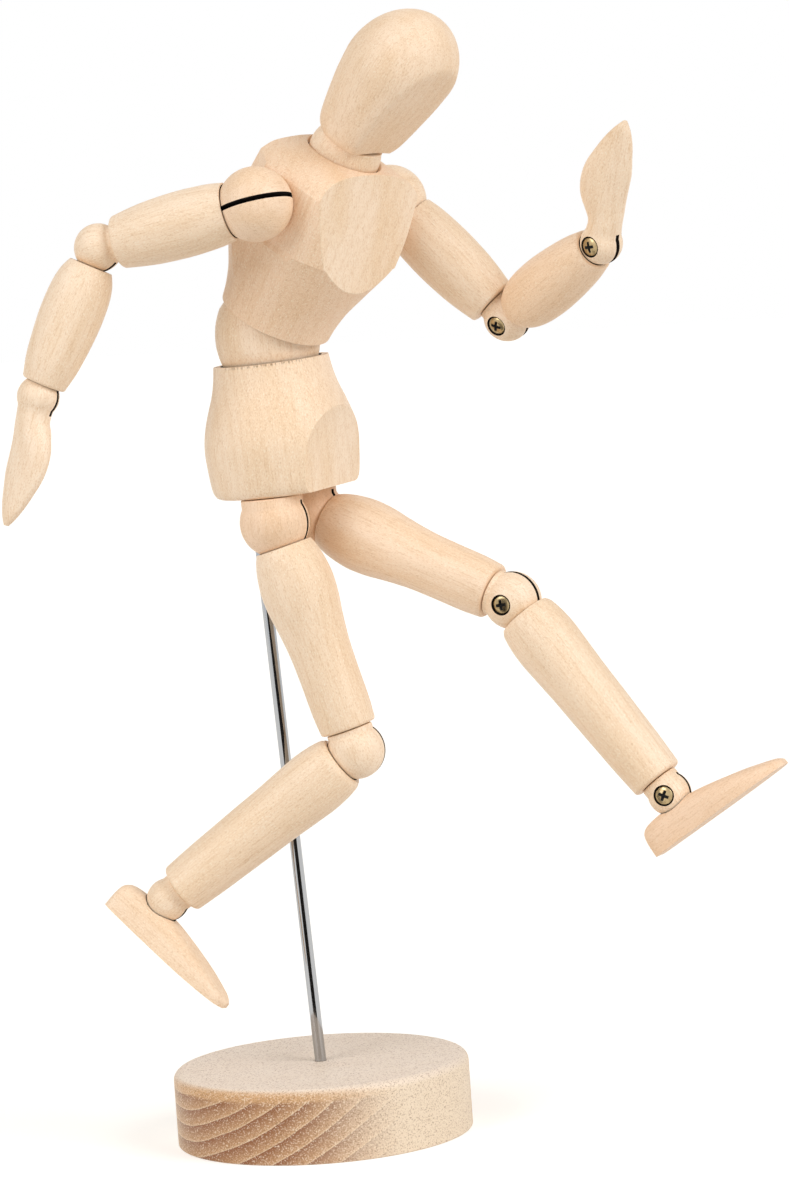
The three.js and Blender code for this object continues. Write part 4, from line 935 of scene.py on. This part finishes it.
# Forearms
# Turned spindles of the same wood, with a cup and a steel tongue for the elbow and a second cup for
# the domed end of the hand, which turns on a pin in the wood.
FOREARM_LENGTH = 42
FOREARM_ROWS = [(5.2, 6), (6.5, 6.5), (8.5, 7.3), (12, 8), (17, 8.3), (22, 8.2), (28, 7.7), (33, 7.05),
                (38.5, 6)]
ELBOW_POSES = {"right": -54.2, "left": -80}
WRIST_RADIUS = 5.6
WRIST_PIN_RADIUS = 1.9
WRIST_PIN_LENGTH = 10
pin_top = WRIST_RADIUS + WRIST_PIN_LENGTH + GAP
forearms = jointed(elbow_knuckles, 0, "X", ELBOW_POSES)
for side, place in forearms.items():
    body = side + "_forearm"
    shape = worked(limb(FOREARM_ROWS), [
        ball(ELBOW_RADIUS + SEAT_GAP), mortise(ELBOW_RADIUS + TONGUE_TAIL),
        moved(ball(WRIST_RADIUS + SEAT_GAP), lifted(-FOREARM_LENGTH)),
        bored((0, 0, -FOREARM_LENGTH), (0, 0, pin_top - FOREARM_LENGTH), WRIST_PIN_RADIUS + GAP)])
    shade_painted(shape, on_ball(ELBOW_RADIUS + SEAT_GAP),
             on_ball(WRIST_RADIUS + SEAT_GAP, (0, 0, -FOREARM_LENGTH)))
    wooden(body + "_turning", shape, place, body, body)
    refinished(side + "_elbow_tongue", drawn_steel)


# Hands
# Flat paddles carved in one with a domed wrist, fuller on the thumb's side and pointed at the tip.
# The dome is sawn for the wrist's steel tongue and pinned by a screw like the knuckles'.
WRIST_TURN_POSES = {"right": 0, "left": 12.2}
WRIST_POSES = {"right": -8.7, "left": -37.4}
WRIST_SLOT_FLOOR = 4.3
# Below the wrist, half width, towards the thumb, and half thickness
HAND_ROWS = [(4.6, 4.6, 0, 4.4), (6.4, 4.7, 0.2, 4.25), (9, 5.5, 1, 3.95), (13, 6.35, 2, 3.6),
             (17, 6.6, 2.2, 3.25), (21, 6.3, 1.9, 2.85), (25, 5.2, 1.4, 2.4), (29, 3.9, 0.8, 1.9),
             (32.5, 2.2, 0.3, 1.4), (34.8, 0.6, 0, 0.7)]
HAND_TURN = -20
HAND_TURN_RUN = 6
HAND_DOME_START = 2
HAND_DOME_END = 122
HAND_FACETS = 48


def lofted(rows, segments):
    """A form through oval rows of height, half thickness, half width and shift towards -Y, top first."""
    shape = bmesh.new()
    ring = bmesh.ops.create_circle(shape, cap_ends=True, radius=1, segments=segments)["verts"]
    height, thick, wide, shift = rows[0]
    bmesh.ops.transform(shape, verts=ring, matrix=Matrix.LocRotScale(
        Vector((0, -shift, height)), None, Vector((thick, wide, 1))))
    edges = shape.edges[:]
    for height, new_thick, new_wide, new_shift in rows[1:]:
        grown = bmesh.ops.extrude_edge_only(shape, edges=edges)["geom"]
        ring = [part for part in grown if isinstance(part, bmesh.types.BMVert)]
        edges = [part for part in grown if isinstance(part, bmesh.types.BMEdge)
                 and all(v in ring for v in part.verts)]
        for point in ring:
            across = (point.co.y + shift) / wide * new_wide - new_shift
            point.co = (point.co.x / thick * new_thick, across, height)
        thick, wide, shift = new_thick, new_wide, new_shift
    bmesh.ops.contextual_create(shape, geom=edges)
    bmesh.ops.recalc_face_normals(shape, faces=shape.faces)
    return shape


def smoothed(rows, steps=5):
    """Each column of some rows as a smooth run against the first column."""
    columns = list(zip(*rows))
    return [curved(list(zip(columns[0], column)), steps) for column in columns[1:]]


dome_rows = [(-height, radius, radius, 0)
             for radius, height in arc(0, WRIST_RADIUS, HAND_DOME_START, HAND_DOME_END, 24)]
palm_rows = [(-below, thick, wide, shift)
             for (below, wide), (_, shift), (_, thick) in zip(*smoothed(HAND_ROWS))]
over = Matrix.Rotation(pi, 4, "X")
wrists = jointed(forearms, FOREARM_LENGTH, "Z", WRIST_TURN_POSES)
for side, place in jointed(wrists, 0, "X", WRIST_POSES).items():
    body = side + "_hand"
    carving = lofted(dome_rows + palm_rows, HAND_FACETS)
    for point in carving.verts:
        share = min(1, max(0, (-point.co.z - HAND_ROWS[0][0]) / HAND_TURN_RUN))
        point.co = Matrix.Rotation(radians(HAND_TURN * share), 3, "Z") @ point.co
    shape = worked(carving, [moved(kerf(WRIST_RADIUS, WRIST_SLOT_FLOOR), over),
                             moved(screw_hole(WRIST_RADIUS), inwards(side))])
    shade_painted(shape, in_kerf(WRIST_SLOT_FLOOR, over), in_counterbore(WRIST_RADIUS, inwards(side)))
    wooden(body + "_carving", shape, place, body, body, lines=HAND_LINES)
    screwed(side, "wrist", WRIST_RADIUS, place, body)
    refinished(side + "_wrist_tongue", drawn_steel)


# Hip knuckles and screws
# The same slotted knuckle and screw as at the elbow, larger, with straight sides above the ball.
# Their spigots turn in the underside of the pelvis.
HIP_RADIUS = 9.3
HIP_SEAT = 6.9
HIP_STRAIGHT_FROM = 118
HIP_TURN_POSES = {"right": 4.5, "left": -5.4}
hip_knuckles = {side: hinge(pelvis, (sign * HIP_SPREAD, 0, -HIP_SEAT - SEAT_GAP), "Z", HIP_TURN_POSES[side])
                for side, sign in SIDES.items()}
slotted_knuckles("hip", HIP_RADIUS, HIP_SEAT, HIP_STRAIGHT_FROM, hip_knuckles)


# Thighs
# The thickest turned limbs, full near the top, with a cup and a steel tongue for the hip and a
# squared end that takes the spigot of the knee.
THIGH_LENGTH = 64.3
THIGH_ROWS = [(6.8, 7.7), (9, 8.5), (12, 9.3), (16, 9.9), (19, 10), (23, 9.75), (27.5, 9.1), (32, 8.55),
              (37, 8.15), (44, 8), (52, 7.95), (58.1, 7.6)]
HIP_POSES = {"right": -12.9, "left": -64}
thighs = jointed(hip_knuckles, 0, "X", HIP_POSES)
cupped_limbs("thigh", HIP_RADIUS, THIGH_ROWS, thighs, "hip_tongue")


# Knee knuckles and screws
# Turned and slotted knuckles between thigh and shin, with a brass screw in the inner side, made as
# the elbows are. Their spigots turn in the thighs.
KNEE_RADIUS = 7.7
KNEE_SEAT = 5.9
KNEE_STRAIGHT_FROM = 126
KNEE_TURN_POSES = {"right": 9, "left": -1.4}
knee_knuckles = jointed(thighs, THIGH_LENGTH, "Z", KNEE_TURN_POSES)
slotted_knuckles("knee", KNEE_RADIUS, KNEE_SEAT, KNEE_STRAIGHT_FROM, knee_knuckles)


# Shins
# Turned limbs, full below the knee and narrowing to a squared end at the ankle, with a cup and a
# steel tongue for the knee.
SHIN_LENGTH = 66
SHIN_ROWS = [(5.1, 7.3), (6.6, 8), (10, 8.6), (14.5, 8.9), (20, 8.7), (28, 8.3), (36, 8.1), (44, 7.85),
             (52, 7.6), (61.2, 7.15)]
KNEE_POSES = {"right": 71, "left": 28.8}
shins = jointed(knee_knuckles, 0, "X", KNEE_POSES)
cupped_limbs("shin", KNEE_RADIUS, SHIN_ROWS, shins, "knee_tongue")


# Ankle knuckles and screws
# The smallest leg knuckles, turned, slotted and screwed as the others are. Their spigots turn in
# the ends of the shins.
ANKLE_RADIUS = 5.8
ANKLE_SEAT = 4.5
ANKLE_STRAIGHT_FROM = 115
ANKLE_TURN_POSES = {"right": -10.7, "left": 9.2}
ankle_knuckles = jointed(shins, SHIN_LENGTH, "Z", ANKLE_TURN_POSES)
slotted_knuckles("ankle", ANKLE_RADIUS, ANKLE_SEAT, ANKLE_STRAIGHT_FROM, ankle_knuckles)


# Feet
# Carved wedges with a flat sole, a blunt heel and a pointed toe. A hollow in the top takes the
# ankle, and a steel tongue is let into it.
ANKLE_POSES = {"right": -12.4, "left": 4.4}
FOOT_SOLE = 11.7
# In front of the ankle, half width and height above the sole
FOOT_ROWS = [(-12, 3.2, 5.8), (-11.4, 4.2, 7.2), (-9.5, 4.9, 8.2), (-5.5, 5.5, 8.7), (-2, 5.9, 8.7),
             (2, 6.3, 8.7), (6, 6.7, 8.4), (11, 7.1, 7.5), (16, 7.15, 6.4), (21, 6.7, 5.2),
             (26, 5.6, 3.7), (29, 4.2, 2.7), (30.8, 1.8, 1.6)]
FOOT_SQUARENESS = 0.62
FOOT_FACETS = 64


def foot_block():
    """A foot lofted from heel to toe, flat below, then set under the ankle."""
    rows = [(at, high, wide, 0) for (at, wide), (_, high) in zip(*smoothed(FOOT_ROWS))]
    shape = lofted(rows, FOOT_FACETS)
    for point in shape.verts:
        row = min(rows, key=lambda r: abs(r[0] - point.co.z))
        for axis, reach in (0, row[1]), (1, row[2]):
            share = point.co[axis] / reach
            point.co[axis] = reach * (abs(share) ** FOOT_SQUARENESS) * (1 if share > 0 else -1)
    # The loft runs up Z with its height along X: lay it down with the toe to the front
    moved(shape, Matrix(((0, 1, 0, 0), (0, 0, -1, 0), (1, 0, 0, -FOOT_SOLE), (0, 0, 0, 1))))
    bmesh.ops.recalc_face_normals(shape, faces=shape.faces)
    whole = shape.verts[:] + shape.edges[:] + shape.faces[:]
    cut = bmesh.ops.bisect_plane(shape, geom=whole, plane_co=(0, 0, -FOOT_SOLE), plane_no=(0, 0, -1),
                                 clear_outer=True)["geom_cut"]
    rim = [part for part in cut if isinstance(part, bmesh.types.BMEdge)]
    bmesh.ops.contextual_create(shape, geom=rim)
    bmesh.ops.recalc_face_normals(shape, faces=shape.faces)
    return shape


foot_tongue_end = (ANKLE_RADIUS + FOOT_SOLE) / 2
for side, place in jointed(ankle_knuckles, 0, "X", ANKLE_POSES).items():
    body = side + "_foot"
    shape = worked(foot_block(), [ball(ANKLE_RADIUS + SEAT_GAP), mortise(foot_tongue_end)])
    shade_painted(shape, on_ball(ANKLE_RADIUS + SEAT_GAP))
    wooden(body + "_carving", shape, place, body, body, grain_turn=grain_round(90, "X"))
    refinished(side + "_ankle_tongue", drawn_steel)


# Floor, light and camera
# A white sheet of paper under two large soft lamps from the upper right and left, with even warm
# light from all round and a dark card by the camera that only the bright metal mirrors. The camera
# stands where the photograph was taken from.
FLOOR_SIZE = 12
FLOOR_COLOUR = "#EBEBEB"
PAPER_GLOW = 0.47
SKY_STRENGTH = 0.4
SKY_COLOUR = "#FFF5E4"
WHITE = (1, 1, 1, 1)
CARD_HALF_SIZE = (0.048, 0.09)
CARD_AWAY = 70
CARD_COLOUR = "#2C2C2C"
# Each lamp's strength and its side: shares to the right, to the camera and up
LAMPS = {"right_lamp": (1.52, (0.7, 0.5, 0.5)), "left_lamp": (1.2, (-0.66, 0.57, 0.48))}
LAMP_SOFTNESS = 40
CAMERA_AZIMUTH = -67.367
CAMERA_ELEVATION = 5.142
CAMERA_ROLL = 4.063
CAMERA_DISTANCE = 1217.34
AIM_ACROSS = 28.763
AIM_UP = 143.427
PIXELS_PER_MM = 3.7267
PICTURE_HEIGHT = 1200
SENSOR = 36
scene = bpy.context.scene


def seen_or_mirrored(tree):
    """Tells the rays that show a thing, straight or in bright metal, from those that carry its light."""
    seen = add(tree, "LightPath", {}, "Is Camera Ray")
    for ray in ("Is Glossy Ray", "Is Transmission Ray"):
        seen = add(tree, "Math", {0: seen, 1: add(tree, "LightPath", {}, ray)}, operation="MAXIMUM")
    return seen


def studio_sheet(name, half_size, material):
    """A flat sheet of the studio, which isn't part of the figure."""
    shape = bmesh.new()
    bmesh.ops.create_grid(shape, x_segments=1, y_segments=1, size=1)
    bmesh.ops.scale(shape, vec=(*half_size, 1), verts=shape.verts)
    mesh = bpy.data.meshes.new(name)
    shape.to_mesh(mesh)
    shape.free()
    mesh.materials.append(material)
    sheet = bpy.data.objects.new(name, mesh)
    scene.collection.objects.link(sheet)
    return sheet


# Matt paper: plain white to the eye, with a faint shadow left on it
paper, tree, shader = new_material("white_paper")
wired(tree, shader, {
    "Base Color": linear(FLOOR_COLOUR), "Roughness": 0.9, "Specular IOR Level": 0,
    "Emission Color": WHITE,
    "Emission Strength": add(tree, "MapRange", {"Value": seen_or_mirrored(tree), "To Max": PAPER_GLOW}),
})
studio_sheet("floor", (FLOOR_SIZE / 2, FLOOR_SIZE / 2), paper)

world = bpy.data.worlds.new("white_studio")
world.use_nodes = True
tree = world.node_tree
seen = seen_or_mirrored(tree)
wired(tree, tree.nodes["Background"], {
    "Strength": add(tree, "MapRange", {"Value": seen, "To Min": SKY_STRENGTH}),
    "Color": add(tree, "MixRGB", {"Fac": seen, "Color1": linear(SKY_COLOUR), "Color2": WHITE}),
})
scene.world = world

turn, rise, roll = (radians(a) for a in (CAMERA_AZIMUTH, CAMERA_ELEVATION, CAMERA_ROLL))
back = Vector((sin(turn) * cos(rise), -cos(turn) * cos(rise), sin(rise)))
right = Vector((cos(turn), sin(turn), 0))
up = back.cross(right)
level = Vector((back.x, back.y, 0)).normalized()

# Black card: a dull dark grey that only shows as a line along the rod
black_paper, tree, shader = new_material("black_card")
wired(tree, shader, {"Base Color": linear(CARD_COLOUR), "Roughness": 1})
card = studio_sheet("dark_card", CARD_HALF_SIZE, black_paper)
for ray in ("camera", "diffuse", "shadow", "transmission"):
    setattr(card, "visible_" + ray, False)
card_spot = level * CARD_AWAY * MM + Vector((0, 0, CARD_HALF_SIZE[1]))
card.matrix_world = Matrix.Translation(card_spot) @ Matrix((right, (0, 0, 1), level)).transposed().to_4x4()

camera_data = bpy.data.cameras.new("camera")
camera_data.lens = PIXELS_PER_MM * CAMERA_DISTANCE * SENSOR / PICTURE_HEIGHT
camera_data.sensor_width = SENSOR
camera = bpy.data.objects.new("camera", camera_data)
aim = right * AIM_ACROSS + Vector((0, 0, AIM_UP))
spot = (aim + back * CAMERA_DISTANCE) * MM
axes = Matrix((right * cos(roll) - up * sin(roll), up * cos(roll) + right * sin(roll), back)).transposed()
camera.matrix_world = Matrix.Translation(spot) @ axes.to_4x4()
for name, (strength, (to_right, to_camera, upwards)) in LAMPS.items():
    lamp_data = bpy.data.lights.new(name, "SUN")
    lamp_data.energy = strength
    lamp_data.angle = radians(LAMP_SOFTNESS)
    lamp = bpy.data.objects.new(name, lamp_data)
    lamp.rotation_mode = "QUATERNION"
    lamp_side = right * to_right + level * to_camera + Vector((0, 0, upwards))
    lamp.rotation_quaternion = lamp_side.to_track_quat("Z", "Y")
    scene.collection.objects.link(lamp)
scene.collection.objects.link(camera)
scene.camera = camera
scene.view_settings.view_transform = "Standard"
